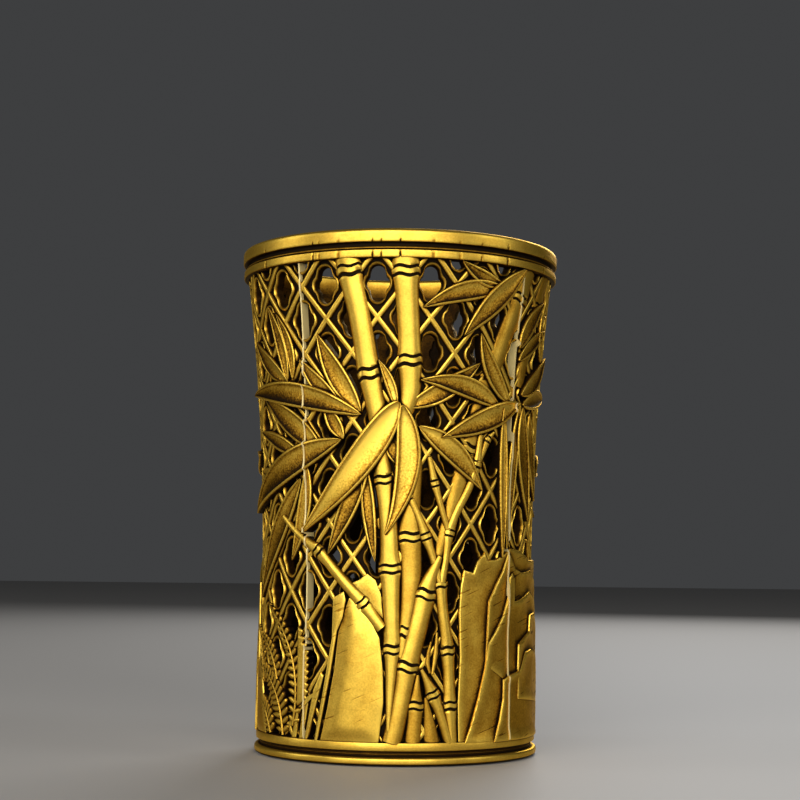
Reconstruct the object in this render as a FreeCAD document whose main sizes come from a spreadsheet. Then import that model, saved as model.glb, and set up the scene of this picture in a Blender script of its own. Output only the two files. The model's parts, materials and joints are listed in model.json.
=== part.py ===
import FreeCAD, Part

# Pen holder cup: a flared openwork sleeve of cast brass with bamboo in relief.
#
# Four cast wall panels stand between a rim ring and a foot ring, joined by four upright solder
# seams. A floor plate is screwed down into the foot ring, and the rubber pad under it is what touches
# the desk. Millimetres, +Z up, origin at the middle of the pad's underside; the front faces -Y.
# Places on the wall are given as on the unrolled sleeve: along = distance round the wall at
# PATTERN_RADIUS, counted from the front towards +X, and z = height.

import Sketcher
import math
import os

from FreeCAD import Placement, Rotation, Vector

# ---------------------------------------------------------------- driving dimensions, in the sheet
SIZES = {
    # the sleeve
    "height": 120.0,
    "ground_radius": 31.7,  # the lattice's sunk ground, from the foot up to flare_start
    "wall_thickness": 1.5,
    "flare_start": 40.0,
    "flare_arc": 585.0,  # radius of the arc that opens the sleeve towards the rim
    "seam_angle": 0.5,
    "seam_stand": 1.0,  # how far the solder stands over the ground
    "relief_root": 0.4,  # the relief starts this far outside the wall's inner face
    # levels, from the desk up
    "pad_thickness": 1.2,
    "foot_under": 0.3,
    "foot_band_top": 2.1,
    "foot_neck_top": 3.4,
    "wall_foot_top": 5.5,
    "lattice_top": 113.3,
    "wall_band_top": 115.2,
    "rim_neck_top": 116.8,
    # radii of the mouldings
    "foot_radius": 33.7,
    "foot_neck_radius": 32.3,
    "wall_foot_radius": 33.3,
    "wall_band_radius": 38.2,
    "rim_neck_radius": 37.5,
    "rim_radius": 38.4,
    "moulding_round": 0.6,
    "rim_round": 0.9,
    # tongues of the panels, and the grooves they stand in
    "foot_tongue_inner": 30.9,
    "foot_tongue_outer": 31.7,
    "foot_tongue_end": 2.4,
    "rim_tongue_inner": 35.8,
    "rim_tongue_outer": 36.8,
    "rim_tongue_end": 116.9,
    "tongue_play": 0.05,
    "tongue_gap": 0.1,
    # floor
    "floor_seat_radius": 29.5,
    "flange_inner_radius": 24.0,
    "flange_top": 2.8,
    "floor_radius": 29.45,
    "floor_thickness": 2.0,
    "pad_radius": 29.3,
    # floor screws
    "screw_circle": 26.5,
    "screw_radius": 0.95,
    "screw_hole_radius": 1.0,
    "screw_way_radius": 1.1,
    "screw_head_radius": 2.0,
    "screw_head_depth": 1.05,
    "screw_length": 2.9,
    "screw_hole_depth": 1.6,
    "screw_slot_width": 0.5,
    "screw_slot_depth": 0.4,
    "screw_slot_overrun": 0.5,
    "screw_seat_play": 0.2,
    "screw_seat_angle": 90.0,
}


UP = Vector(0, 0, 1)
QUARTER = 90.0  # degrees that one wall panel takes, with half of each seam beside it
FRONT = -90.0  # degrees from +X, where turning starts, to the front, -Y


def flare(z):
    """How far the wall stands out at height z, past its straight lower part."""
    rise = max(z - SIZES["flare_start"], 0.0)
    return SIZES["flare_arc"] - math.sqrt(SIZES["flare_arc"] ** 2 - rise**2)


def ground(z):
    return SIZES["ground_radius"] + flare(z)


SIZES["rim_top"] = SIZES["height"]
SIZES["wall_inner"] = SIZES["ground_radius"] - SIZES["wall_thickness"]
SIZES["ground_top"] = ground(SIZES["lattice_top"])
SIZES["wall_inner_top"] = SIZES["wall_inner"] + flare(SIZES["wall_band_top"])
SIZES["panel_angle"] = QUARTER - SIZES["seam_angle"]
SIZES["foot_round_top"] = SIZES["foot_under"] + SIZES["moulding_round"]
SIZES["foot_round_start"] = SIZES["foot_radius"] - SIZES["moulding_round"]
SIZES["foot_band_round"] = SIZES["foot_band_top"] - SIZES["moulding_round"]
SIZES["rim_round_start"] = SIZES["rim_top"] - SIZES["rim_round"]
SIZES["rim_round_top"] = SIZES["rim_radius"] - SIZES["rim_round"]
SIZES["rim_lip_outer"] = SIZES["wall_inner_top"] + SIZES["rim_round"]
SIZES["foot_groove_inner"] = SIZES["foot_tongue_inner"] - SIZES["tongue_play"]
SIZES["foot_groove_outer"] = SIZES["foot_tongue_outer"] + SIZES["tongue_play"]
SIZES["foot_groove_end"] = SIZES["foot_tongue_end"] - SIZES["tongue_gap"]
SIZES["rim_groove_inner"] = SIZES["rim_tongue_inner"] - SIZES["tongue_play"]
SIZES["rim_groove_outer"] = SIZES["rim_tongue_outer"] + SIZES["tongue_play"]
SIZES["rim_groove_end"] = SIZES["rim_tongue_end"] + SIZES["tongue_gap"]
SIZES["fin_radius"] = SIZES["ground_radius"] + SIZES["seam_stand"]
SIZES["fin_radius_top"] = SIZES["fin_radius"] + flare(SIZES["lattice_top"])

doc = FreeCAD.newDocument("pen_holder_cup")
sheet = doc.addObject("Spreadsheet::Sheet", "sheet")
for row, (name, value) in enumerate(SIZES.items(), start=1):
    sheet.set(f"A{row}", name)
    sheet.set(f"B{row}", f"{value:.6f}")
    sheet.setAlias(f"B{row}", name)
doc.recompute()


def bind(feature, prop, alias):
    feature.setExpression(prop, f"sheet.{alias}")


# ---------------------------------------------------------------- helpers for sketches and bodies
def closed_profile(sketch, corners, arcs=()):
    """Lines from corner to corner, each corner held by two cells of the sheet as (radius, height).
    arcs gives, for the edge that starts at a corner, its radius's cell and the side of its centre."""
    arcs = dict(arcs)
    points = [Vector(SIZES[x], SIZES[y], 0) for x, y in corners]
    count = len(points)
    starts = []
    for i in range(count):
        a, b = points[i], points[(i + 1) % count]
        if i in arcs:
            alias, side = arcs[i]
            radius = SIZES[alias]
            chord = b - a
            reach = math.sqrt(radius**2 - (chord.Length / 2) ** 2)
            across = Vector(-chord.y, chord.x, 0).normalize()
            centre = (a + b) * 0.5 + across * reach * side
            first = math.atan2(a.y - centre.y, a.x - centre.x)
            last = math.atan2(b.y - centre.y, b.x - centre.x)
            if side < 0:
                first, last = last, first
            circle = Part.Circle(centre, Vector(0, 0, 1), radius)
            sketch.addGeometry(Part.ArcOfCircle(circle, first, last), False)
            starts.append((1, 2) if side > 0 else (2, 1))
        else:
            sketch.addGeometry(Part.LineSegment(a, b), False)
            starts.append((1, 2))
    for i in range(count):
        following = (i + 1) % count
        joined = Sketcher.Constraint("Coincident", i, starts[i][1], following, starts[following][0])
        sketch.addConstraint(joined)
    for i, (x, y) in enumerate(corners):
        for kind, alias in (("DistanceX", x), ("DistanceY", y)):
            held = sketch.addConstraint(Sketcher.Constraint(kind, -1, 1, i, starts[i][0], SIZES[alias]))
            sketch.setExpression(f"Constraints[{held}]", f"sheet.{alias}")
    for i, (alias, _) in arcs.items():
        held = sketch.addConstraint(Sketcher.Constraint("Radius", i, SIZES[alias]))
        sketch.setExpression(f"Constraints[{held}]", f"sheet.{alias}")


def origin_feature(body, role):
    return next(f for f in body.Origin.OriginFeatures if f.Role == role)


def sketch_on(body, role, name, lift=None):
    """A sketch on one of the body's origin planes, raised by the height in the cell named lift."""
    sketch = body.newObject("Sketcher::SketchObject", name)
    sketch.AttachmentSupport = (origin_feature(body, role), [""])
    sketch.MapMode = "FlatFace"
    if lift:
        bind(sketch, ".AttachmentOffset.Base.z", lift)
    return sketch


def turned_body(label, corners, arcs=()):
    """A body of revolution about Z from a closed profile of (radius, height) cells."""
    body = doc.addObject("PartDesign::Body", label)
    body.Label = label
    sketch = sketch_on(body, "XZ_Plane", f"{label}_profile")
    closed_profile(sketch, corners, arcs)
    turned = body.newObject("PartDesign::Revolution", f"{label}_turned")
    turned.Profile = sketch
    turned.ReferenceAxis = (sketch, ["V_Axis"])
    turned.Angle = 360
    sketch.Visibility = False
    doc.recompute()
    return body


def circle_at(sketch, radius_alias, offset_alias=None):
    """A circle held by its radius, on the sketch's origin or out along its first axis."""
    offset = SIZES[offset_alias] if offset_alias else 0.0
    drawn = sketch.addGeometry(Part.Circle(Vector(offset, 0, 0), Vector(0, 0, 1), SIZES[radius_alias]), False)
    held = sketch.addConstraint(Sketcher.Constraint("Radius", drawn, SIZES[radius_alias]))
    sketch.setExpression(f"Constraints[{held}]", f"sheet.{radius_alias}")
    if offset_alias:
        sketch.addConstraint(Sketcher.Constraint("PointOnObject", drawn, 3, -1))
        held = sketch.addConstraint(Sketcher.Constraint("DistanceX", -1, 1, drawn, 3, offset))
        sketch.setExpression(f"Constraints[{held}]", f"sheet.{offset_alias}")
    else:
        sketch.addConstraint(Sketcher.Constraint("Coincident", drawn, 3, -1, 1))


def four_round(body, feature):
    """Repeats a feature four times round Z."""
    pattern = body.newObject("PartDesign::PolarPattern", f"{feature.Name}_four")
    pattern.Originals = [feature]
    pattern.Axis = (origin_feature(body, "Z_Axis"), [""])
    pattern.Angle = 360
    pattern.Occurrences = 4
    body.Tip = pattern
    doc.recompute()
    return pattern


# ---------------------------------------------------------------- rim ring
rim_ring = turned_body(
    "rim_ring",
    [
        ("wall_inner_top", "wall_band_top"),
        ("rim_groove_inner", "wall_band_top"),
        ("rim_groove_inner", "rim_groove_end"),
        ("rim_groove_outer", "rim_groove_end"),
        ("rim_groove_outer", "wall_band_top"),
        ("rim_neck_radius", "wall_band_top"),
        ("rim_neck_radius", "rim_neck_top"),
        ("rim_radius", "rim_neck_top"),
        ("rim_radius", "rim_round_start"),
        ("rim_round_top", "rim_top"),
        ("rim_lip_outer", "rim_top"),
        ("wall_inner_top", "rim_round_start"),
    ],
    {8: ("rim_round", 1), 10: ("rim_round", 1)},
)

# ---------------------------------------------------------------- foot ring, with the floor's flange
foot_ring = turned_body(
    "foot_ring",
    [
        ("floor_seat_radius", "foot_under"),
        ("foot_round_start", "foot_under"),
        ("foot_radius", "foot_round_top"),
        ("foot_radius", "foot_band_round"),
        ("foot_round_start", "foot_band_top"),
        ("foot_neck_radius", "foot_band_top"),
        ("foot_neck_radius", "foot_neck_top"),
        ("foot_groove_outer", "foot_neck_top"),
        ("foot_groove_outer", "foot_groove_end"),
        ("foot_groove_inner", "foot_groove_end"),
        ("foot_groove_inner", "foot_neck_top"),
        ("floor_seat_radius", "foot_neck_top"),
        ("floor_seat_radius", "flange_top"),
        ("flange_inner_radius", "flange_top"),
        ("flange_inner_radius", "pad_thickness"),
        ("floor_seat_radius", "pad_thickness"),
    ],
    {1: ("moulding_round", 1), 3: ("moulding_round", 1)},
)
before_holes = foot_ring.Shape.Volume
way_sketch = sketch_on(foot_ring, "XY_Plane", "screw_ways", "pad_thickness")
circle_at(way_sketch, "screw_way_radius", "screw_circle")
doc.recompute()
screw_way = foot_ring.newObject("PartDesign::Hole", "screw_way")
screw_way.Profile = way_sketch
doc.recompute()
screw_way.DepthType = "ThroughAll"
screw_way.Reversed = True
screw_way.Threaded = False
screw_way.HoleCutType = "Countersink"
screw_way.HoleCutCustomValues = True
screw_way.setExpression("Diameter", "sheet.screw_way_radius * 2")
screw_way.setExpression("HoleCutDiameter", "sheet.screw_head_radius * 2 + sheet.screw_seat_play")
bind(screw_way, "HoleCutCountersinkAngle", "screw_seat_angle")
way_sketch.Visibility = False
doc.recompute()
four_round(foot_ring, screw_way)
way_volume = before_holes - foot_ring.Shape.Volume

# ---------------------------------------------------------------- floor plate and rubber pad
floor_plate = doc.addObject("PartDesign::Body", "floor_plate")
floor_plate.Label = "floor_plate"
floor_sketch = sketch_on(floor_plate, "XY_Plane", "floor_outline", "flange_top")
circle_at(floor_sketch, "floor_radius")
floor_pad = floor_plate.newObject("PartDesign::Pad", "floor_disc")
floor_pad.Profile = floor_sketch
bind(floor_pad, "Length", "floor_thickness")
doc.recompute()
thread_sketch = sketch_on(floor_plate, "XY_Plane", "thread_holes", "flange_top")
circle_at(thread_sketch, "screw_hole_radius", "screw_circle")
thread_hole = floor_plate.newObject("PartDesign::Pocket", "thread_hole")
thread_hole.Profile = thread_sketch
thread_hole.Reversed = True
bind(thread_hole, "Length", "screw_hole_depth")
doc.recompute()
four_round(floor_plate, thread_hole)

base_pad = doc.addObject("PartDesign::Body", "base_pad")
base_pad.Label = "base_pad"
pad_sketch = sketch_on(base_pad, "XY_Plane", "pad_outline")
circle_at(pad_sketch, "pad_radius")
pad_disc = base_pad.newObject("PartDesign::Pad", "pad_disc")
pad_disc.Profile = pad_sketch
bind(pad_disc, "Length", "pad_thickness")
doc.recompute()


# ---------------------------------------------------------------- floor screws: four countersunk, slotted
SCREWS = 4
SLOT_TURN = 30  # degrees; how far a tightened screw's slot has turned


def floor_screw(index):
    """One countersunk screw, its head flush with the flange's underside."""
    head = doc.addObject("Part::Cone", f"screw_head_{index}")
    bind(head, "Radius1", "screw_head_radius")
    bind(head, "Radius2", "screw_radius")
    bind(head, "Height", "screw_head_depth")
    shank = doc.addObject("Part::Cylinder", f"screw_shank_{index}")
    bind(shank, "Radius", "screw_radius")
    bind(shank, "Height", "screw_length")
    screw = doc.addObject("Part::Fuse", f"screw_blank_{index}")
    screw.Base, screw.Tool = head, shank
    slot = doc.addObject("Part::Box", f"screw_slot_{index}")
    slot.setExpression("Length", "(sheet.screw_head_radius + sheet.screw_slot_overrun) * 2")
    bind(slot, "Width", "screw_slot_width")
    bind(slot, "Height", "screw_slot_depth")
    slot.setExpression(".Placement.Base.x", "-sheet.screw_head_radius - sheet.screw_slot_overrun")
    slot.setExpression(".Placement.Base.y", "-sheet.screw_slot_width / 2")
    cut = doc.addObject("Part::Cut", f"screw_{index}")
    cut.Base, cut.Tool = screw, slot
    turn = 360 / SCREWS * index
    place = Rotation(UP, turn).multVec(Vector(SIZES["screw_circle"], 0, SIZES["pad_thickness"]))
    cut.Placement = Placement(place, Rotation(UP, turn + SLOT_TURN))
    return cut


floor_screws = doc.addObject("Part::Compound", "floor_screws")
floor_screws.Links = [floor_screw(i) for i in range(SCREWS)]
floor_screws.Label = "floor_screws"

# ---------------------------------------------------------------- places on the sleeve
PATTERN_RADIUS = 34.0  # the unrolled pattern is drawn on a sleeve of this radius
SEAM_DEGREES = [-39.0, 51.0, 141.0, 231.0]  # from the front towards +X
HALF_TURN = math.pi * PATTERN_RADIUS  # the drawing repeats, turned half round


def angle_of(along):
    return along / PATTERN_RADIUS


def outward(angle):
    """The way out of the wall at that angle: 0 is the front, -Y, and it turns towards +X."""
    return Vector(math.sin(angle), -math.cos(angle), 0)


# ---------------------------------------------------------------- relief: leaves, canes and rocks
BITE = 0.9  # how far the relief's ends reach into the plain bands above and below it


def shell_sector(seam, stand):
    """The space of one panel's relief: from just outside its inner face out to stand over the ground."""
    low, bend, high = SIZES["wall_foot_top"] - BITE, SIZES["flare_start"], SIZES["lattice_top"] + BITE
    middle = (bend + high) / 2
    root = SIZES["relief_root"] - SIZES["wall_thickness"]

    def at(z, off):
        return Vector(ground(z) + off, 0, z)

    inner_arc = Part.Arc(at(high, root), at(middle, root), at(bend, root)).toShape()
    outer_arc = Part.Arc(at(bend, stand), at(middle, stand), at(high, stand)).toShape()
    edges = [
        Part.LineSegment(at(low, root), at(low, stand)).toShape(),
        Part.LineSegment(at(low, stand), at(bend, stand)).toShape(),
        outer_arc,
        Part.LineSegment(at(high, stand), at(high, root)).toShape(),
        inner_arc,
        Part.LineSegment(at(bend, root), at(low, root)).toShape(),
    ]
    face = Part.Face(Part.Wire(edges))
    solid = face.revolve(Vector(0, 0, 0), UP, SIZES["panel_angle"])
    solid.rotate(Vector(0, 0, 0), UP, seam + SIZES["seam_angle"] / 2 + FRONT)
    return solid


def flat_point(middle, along, z):
    """A pattern point on the tangent plane that faces out at the middle of its piece."""
    turn = angle_of(along) - angle_of(middle)
    radius = ground(z)
    side = Vector(math.cos(angle_of(middle)), math.sin(angle_of(middle)), 0)
    return side * radius * math.sin(turn) + Vector(0, 0, z)


PRISM_START = 0.55  # share of the ground's radius where the cutting prisms begin, inside the wall


def radial_prism(wire, middle):
    """A wire on the plane through the axis, pushed out past the wall."""
    way = outward(angle_of(middle))
    wire = wire.copy()
    wire.translate(way * (SIZES["ground_radius"] * PRISM_START))
    return Part.Face(wire).extrude(way * SIZES["ground_radius"])


def leaf_prism(base, tip, width, bow):
    """A pointed leaf: two arcs from base to tip, bowed to one side by bow."""
    (ax, az), (bx, bz) = base, tip
    middle = (ax + bx) / 2
    length = math.hypot(bx - ax, bz - az)
    nx, nz = -(bz - az) / length, (bx - ax) / length
    sides = []
    for half in (width / 2, -width / 2):
        out = bow + half
        sides.append((middle + nx * out, (az + bz) / 2 + nz * out))
    a, b = flat_point(middle, ax, az), flat_point(middle, bx, bz)
    arcs = [Part.Arc(a, flat_point(middle, *side), b).toShape() for side in sides]
    return radial_prism(Part.Wire(arcs), middle)


def rock_prism(corners):
    middle = sum(x for x, _ in corners) / len(corners)
    points = [flat_point(middle, x, z) for x, z in corners]
    return radial_prism(Part.makePolygon(points + [points[0]]), middle)


def cane_prism(knots):
    """A tapering cane, straight from knot to knot; each knot is along, z and width."""
    middle = sum(x for x, _, _ in knots) / len(knots)
    left, right = [], []
    for i, (x, z, width) in enumerate(knots):
        x0, z0, _ = knots[max(i - 1, 0)]
        x1, z1, _ = knots[min(i + 1, len(knots) - 1)]
        length = math.hypot(x1 - x0, z1 - z0)
        nx, nz = -(z1 - z0) / length * width / 2, (x1 - x0) / length * width / 2
        left.append(flat_point(middle, x + nx, z + nz))
        right.append(flat_point(middle, x - nx, z - nz))
    outline = left + right[::-1]
    return radial_prism(Part.makePolygon(outline + outline[:1]), middle)


# base (along, z), tip (along, z), width, bow, stand over the ground
LEAVES = [
    ((-1.0, 80.0), (-23.9, 51.0), 6.4, 1.4, 1.90),
    ((0.8, 79.6), (-2.8, 51.1), 5.2, 2.6, 2.00),
    ((3.8, 75.0), (20.3, 62.0), 5.4, 0.4, 1.60),
    ((26.0, 80.8), (5.2, 85.8), 4.8, -0.4, 1.15),
    ((31.4, 81.2), (10.4, 72.9), 5.0, -0.4, 1.70),
    ((24.0, 108.2), (5.1, 102.2), 4.4, -1.0, 1.20),
    ((30.0, 112.6), (14.5, 96.6), 4.6, -0.4, 1.45),
    ((-8.2, 79.2), (-18.6, 96.3), 4.3, 1.0, 1.05),
    ((-8.6, 77.6), (-40.0, 83.6), 4.8, -2.4, 1.30),
    ((-17.4, 72.8), (-37.8, 83.2), 4.4, -0.4, 1.50),
    ((-13.0, 71.2), (-48.0, 56.5), 6.0, -1.6, 1.75),
    ((-7.2, 69.2), (-16.1, 47.3), 3.8, 0.2, 1.10),
    ((-25.0, 63.5), (-43.0, 37.0), 6.0, 0.2, 1.25),
    ((34.0, 80.2), (39.5, 56.5), 4.3, -0.3, 1.40),
    ((27.6, 82.0), (18.8, 97.0), 3.6, 0.8, 1.35),
]

# knots of each cane from the top down (along, z, width), and stand over the ground
CANES = [
    ([(-11.5, 114.0, 5.4), (-8.6, 100.0, 4.8), (-6.8, 88.0, 5.0), (-4.6, 78.0, 4.6)], 1.62),
    ([(-3.6, 70.0, 3.6), (-3.2, 64.0, 3.8), (-1.5, 43.4, 4.4), (-0.8, 25.5, 3.6)], 1.48),
    ([(1.4, 114.0, 5.8), (1.9, 107.0, 5.5), (2.1, 103.5, 4.6), (2.1, 97.0, 4.6), (2.3, 78.0, 4.6)], 1.66),
    ([(3.9, 66.0, 4.6), (3.0, 50.3, 4.8), (1.8, 30.5, 3.8)], 1.26),
    ([(7.2, 41.5, 4.0), (7.0, 38.3, 4.6), (2.7, 22.2, 4.6), (-0.7, 4.8, 4.4)], 1.80),
    ([(32.6, 114.0, 5.0), (30.2, 106.3, 4.8), (22.4, 87.5, 4.0), (17.3, 70.8, 3.8), (10.8, 50.0, 3.2)], 1.08),
    ([(-30.4, 55.0, 2.4), (-19.5, 47.4, 3.0), (-8.0, 36.0, 3.4), (-3.6, 30.6, 3.0)], 1.34),
    ([(12.5, 52.0, 1.8), (10.5, 40.6, 2.2), (12.3, 25.4, 2.6), (13.6, 4.8, 2.2)], 1.22),
]

# corners (along, z) and stand over the ground
ROCKS = [
    ([(-18.2, 4.6), (-16.2, 12.0), (-14.6, 21.0), (-13.6, 29.0), (-11.2, 37.0), (-8.4, 34.6), (-4.6, 29.6),
      (-3.0, 22.0), (-2.6, 12.0), (-3.6, 4.6)], 1.65),
    ([(15.4, 4.6), (15.2, 30.0), (15.6, 40.0), (16.6, 43.6), (21.6, 45.4), (22.4, 47.6), (28.0, 47.2),
      (36.0, 49.0), (45.0, 51.0), (50.0, 44.0), (54.0, 30.0), (55.0, 4.6)], 1.55),
]


NEAR_SEAM = 0.02  # radians past a seam within which a raised piece may still touch the panel


def reaches(panel_seam, turn, points):
    """Whether any of a raised piece, moved round by turn, lies within the panel that starts at the seam."""
    spots = [angle_of(point[0] + turn) - math.radians(panel_seam) for point in points]
    return max(spots) > -NEAR_SEAM and min(spots) < math.radians(QUARTER) + NEAR_SEAM


def relief_of(panel_seam):
    """Every raised piece that reaches into one panel: on the front and, turned half round, on the back."""
    pieces = []
    for turn in (0.0, HALF_TURN, 2 * HALF_TURN):
        for base, tip, width, bow, stand in LEAVES:
            if reaches(panel_seam, turn, [base, tip]):
                leaf = leaf_prism((base[0] + turn, base[1]), (tip[0] + turn, tip[1]), width, bow)
                pieces.append(leaf.common(shell_sector(panel_seam, stand)))
        for corners, stand in ROCKS:
            if reaches(panel_seam, turn, corners):
                rock = rock_prism([(x + turn, z) for x, z in corners])
                pieces.append(rock.common(shell_sector(panel_seam, stand)))
        for knots, stand in CANES:
            if reaches(panel_seam, turn, knots):
                cane = cane_prism([(x + turn, z, width) for x, z, width in knots])
                pieces.append(cane.common(shell_sector(panel_seam, stand)))
    return [piece for piece in pieces if piece.Solids]


# ---------------------------------------------------------------- lattice openings
COLUMNS = 18
HALF_COLUMN = 360.0 / COLUMNS / 2  # every other row is moved over by half a column
FIRST_COLUMN = 12.0  # degrees from the front, where one opening of the top row stands
DRIFT = 1.0  # degrees; the pattern was cut by hand, and its columns crowd a little towards the seams
DRIFT_START = -18.0
ROW_STEP = 7.7
FIRST_ROW = 107.8
ROWS = 14
LOBE_SIDE, LOBE_SIDE_RADIUS = 0.75, 1.9
LOBE_END, LOBE_END_RADIUS = 2.3, 1.8
SEAM_REACH = 6.0  # degrees past a seam within which an opening still cuts into the panel


def quatrefoil(middle, z):
    """The outline of one opening: four lobes, taller than wide, on the plane that faces out there."""
    reach = math.hypot(LOBE_SIDE, LOBE_END)
    back = (LOBE_SIDE_RADIUS**2 - LOBE_END_RADIUS**2 + reach**2) / (2 * reach)
    off = math.sqrt(LOBE_SIDE_RADIUS**2 - back**2)
    notch_x = LOBE_SIDE - back * LOBE_SIDE / reach + off * LOBE_END / reach
    notch_z = back * LOBE_END / reach + off * LOBE_SIDE / reach
    side = Vector(math.cos(middle), math.sin(middle), 0)

    def at(x, up):
        return side * x + Vector(0, 0, z + up)

    half_wide = LOBE_SIDE + LOBE_SIDE_RADIUS
    half_tall = LOBE_END + LOBE_END_RADIUS
    arcs = [
        Part.Arc(at(notch_x, -notch_z), at(half_wide, 0), at(notch_x, notch_z)),
        Part.Arc(at(notch_x, notch_z), at(0, half_tall), at(-notch_x, notch_z)),
        Part.Arc(at(-notch_x, notch_z), at(-half_wide, 0), at(-notch_x, -notch_z)),
        Part.Arc(at(-notch_x, -notch_z), at(0, -half_tall), at(notch_x, -notch_z)),
    ]
    return Part.Wire([arc.toShape() for arc in arcs])


def drifted(degrees):
    """Where a column that should stand at degrees really stands."""
    return degrees - DRIFT * (1 - math.cos(math.radians(2 * (degrees - DRIFT_START))))


def openings_of(panel_seam):
    """The prisms that pierce one panel, row by row; the lowest rows stop above the foot."""
    prisms = []
    for row in range(ROWS):
        z = FIRST_ROW - row * ROW_STEP
        if z - LOBE_END - LOBE_END_RADIUS < SIZES["wall_foot_top"]:
            continue
        for column in range(2 * COLUMNS):
            if (column + row) % 2:
                continue
            degrees = (drifted(FIRST_COLUMN + column * HALF_COLUMN) - panel_seam) % 360 + panel_seam
            for spot in (degrees, degrees - 360):
                if panel_seam - SEAM_REACH < spot < panel_seam + QUARTER + SEAM_REACH:
                    middle = math.radians(spot)
                    prism = radial_prism(quatrefoil(middle, z), middle * PATTERN_RADIUS)
                    prisms.append(prism)
    return prisms


# ---------------------------------------------------------------- wall panels and solder seams
wall_sketch = doc.addObject("Sketcher::SketchObject", "wall_profile")
wall_sketch.Placement = Placement(Vector(0, 0, 0), Rotation(Vector(1, 0, 0), 90))
closed_profile(
    wall_sketch,
    [
        ("wall_inner", "foot_neck_top"),
        ("foot_tongue_inner", "foot_neck_top"),
        ("foot_tongue_inner", "foot_tongue_end"),
        ("foot_tongue_outer", "foot_tongue_end"),
        ("foot_tongue_outer", "foot_neck_top"),
        ("wall_foot_radius", "foot_neck_top"),
        ("wall_foot_radius", "wall_foot_top"),
        ("ground_radius", "wall_foot_top"),
        ("ground_radius", "flare_start"),
        ("ground_top", "lattice_top"),
        ("wall_band_radius", "lattice_top"),
        ("wall_band_radius", "wall_band_top"),
        ("rim_tongue_outer", "wall_band_top"),
        ("rim_tongue_outer", "rim_tongue_end"),
        ("rim_tongue_inner", "rim_tongue_end"),
        ("rim_tongue_inner", "wall_band_top"),
        ("wall_inner_top", "wall_band_top"),
        ("wall_inner", "flare_start"),
    ],
    {8: ("flare_arc", -1), 16: ("flare_arc", 1)},
)
fin_sketch = doc.addObject("Sketcher::SketchObject", "fin_profile")
fin_sketch.Placement = wall_sketch.Placement
closed_profile(
    fin_sketch,
    [
        ("wall_inner", "foot_neck_top"),
        ("wall_foot_radius", "foot_neck_top"),
        ("wall_foot_radius", "wall_foot_top"),
        ("fin_radius", "wall_foot_top"),
        ("fin_radius", "flare_start"),
        ("fin_radius_top", "lattice_top"),
        ("wall_band_radius", "lattice_top"),
        ("wall_band_radius", "wall_band_top"),
        ("wall_inner_top", "wall_band_top"),
        ("wall_inner", "flare_start"),
    ],
    {4: ("flare_arc", -1), 8: ("flare_arc", 1)},
)
doc.recompute()


def swept(label, sketch, angle_alias, start_degrees):
    """Turns a profile part of the way round Z, from start_degrees measured from the front."""
    turned = doc.addObject("Part::Revolution", label)
    turned.Source = sketch
    turned.Axis = Vector(0, 0, 1)
    turned.Base = Vector(0, 0, 0)
    turned.Solid = True
    bind(turned, "Angle", angle_alias)
    turned.Placement = Placement(Vector(0, 0, 0), Rotation(UP, start_degrees + FRONT))
    return turned


seam_solder = doc.addObject("Part::Compound", "seam_solder")
seam_solder.Links = [
    swept(f"seam_fin_{i}", fin_sketch, "seam_angle", seam - SIZES["seam_angle"] / 2)
    for i, seam in enumerate(SEAM_DEGREES)
]
seam_solder.Label = "seam_solder"

PANEL_NAMES = ["wall_panel_front", "wall_panel_right", "wall_panel_back", "wall_panel_left"]
panels = []
for name, seam in zip(PANEL_NAMES, SEAM_DEGREES):
    blank = swept(f"{name}_blank", wall_sketch, "panel_angle", seam + SIZES["seam_angle"] / 2)
    doc.recompute()
    openings = doc.addObject("Part::Feature", f"{name}_openings")
    openings.Shape = Part.makeCompound(openings_of(seam))
    pierced = doc.addObject("Part::Cut", f"{name}_pierced")
    pierced.Base, pierced.Tool = blank, openings
    pieces = []
    for number, shape in enumerate(relief_of(seam)):
        piece = doc.addObject("Part::Feature", f"{name}_relief_{number}")
        piece.Shape = shape
        pieces.append(piece)
    panel = doc.addObject("Part::MultiFuse", name)
    panel.Shapes = [pierced, *pieces]
    panel.Label = name
    panels.append(panel)
    doc.recompute()

# ---------------------------------------------------------------- checks, then one STEP file per sub-part
doc.recompute()
for feature in doc.Objects:
    if any(word in feature.State for word in ("Invalid", "Error")):
        raise RuntimeError(f"{feature.Label} failed to build: {feature.State}")
flange_thickness = SIZES["flange_top"] - SIZES["pad_thickness"]
if way_volume < SCREWS * math.pi * SIZES["screw_way_radius"] ** 2 * flange_thickness:
    raise RuntimeError("the screw ways cut too little of the flange")

os.makedirs("parts", exist_ok=True)
for node in [rim_ring, *panels, seam_solder, foot_ring, floor_plate, floor_screws, base_pad]:
    shape = node.Shape
    if shape.isNull() or not shape.isValid():
        raise RuntimeError(f"{node.Label} has no valid shape")
    shape.exportStep(f"parts/{node.Label}.step")
    print(node.Label, len(shape.Solids), "solids", len(shape.Faces), "faces", round(shape.Volume, 1), "mm3")
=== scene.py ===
import json
import math

import bmesh
import bpy
from mathutils import Matrix, Vector
from mathutils.bvhtree import BVHTree
from mathutils.noise import noise as rough

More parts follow.
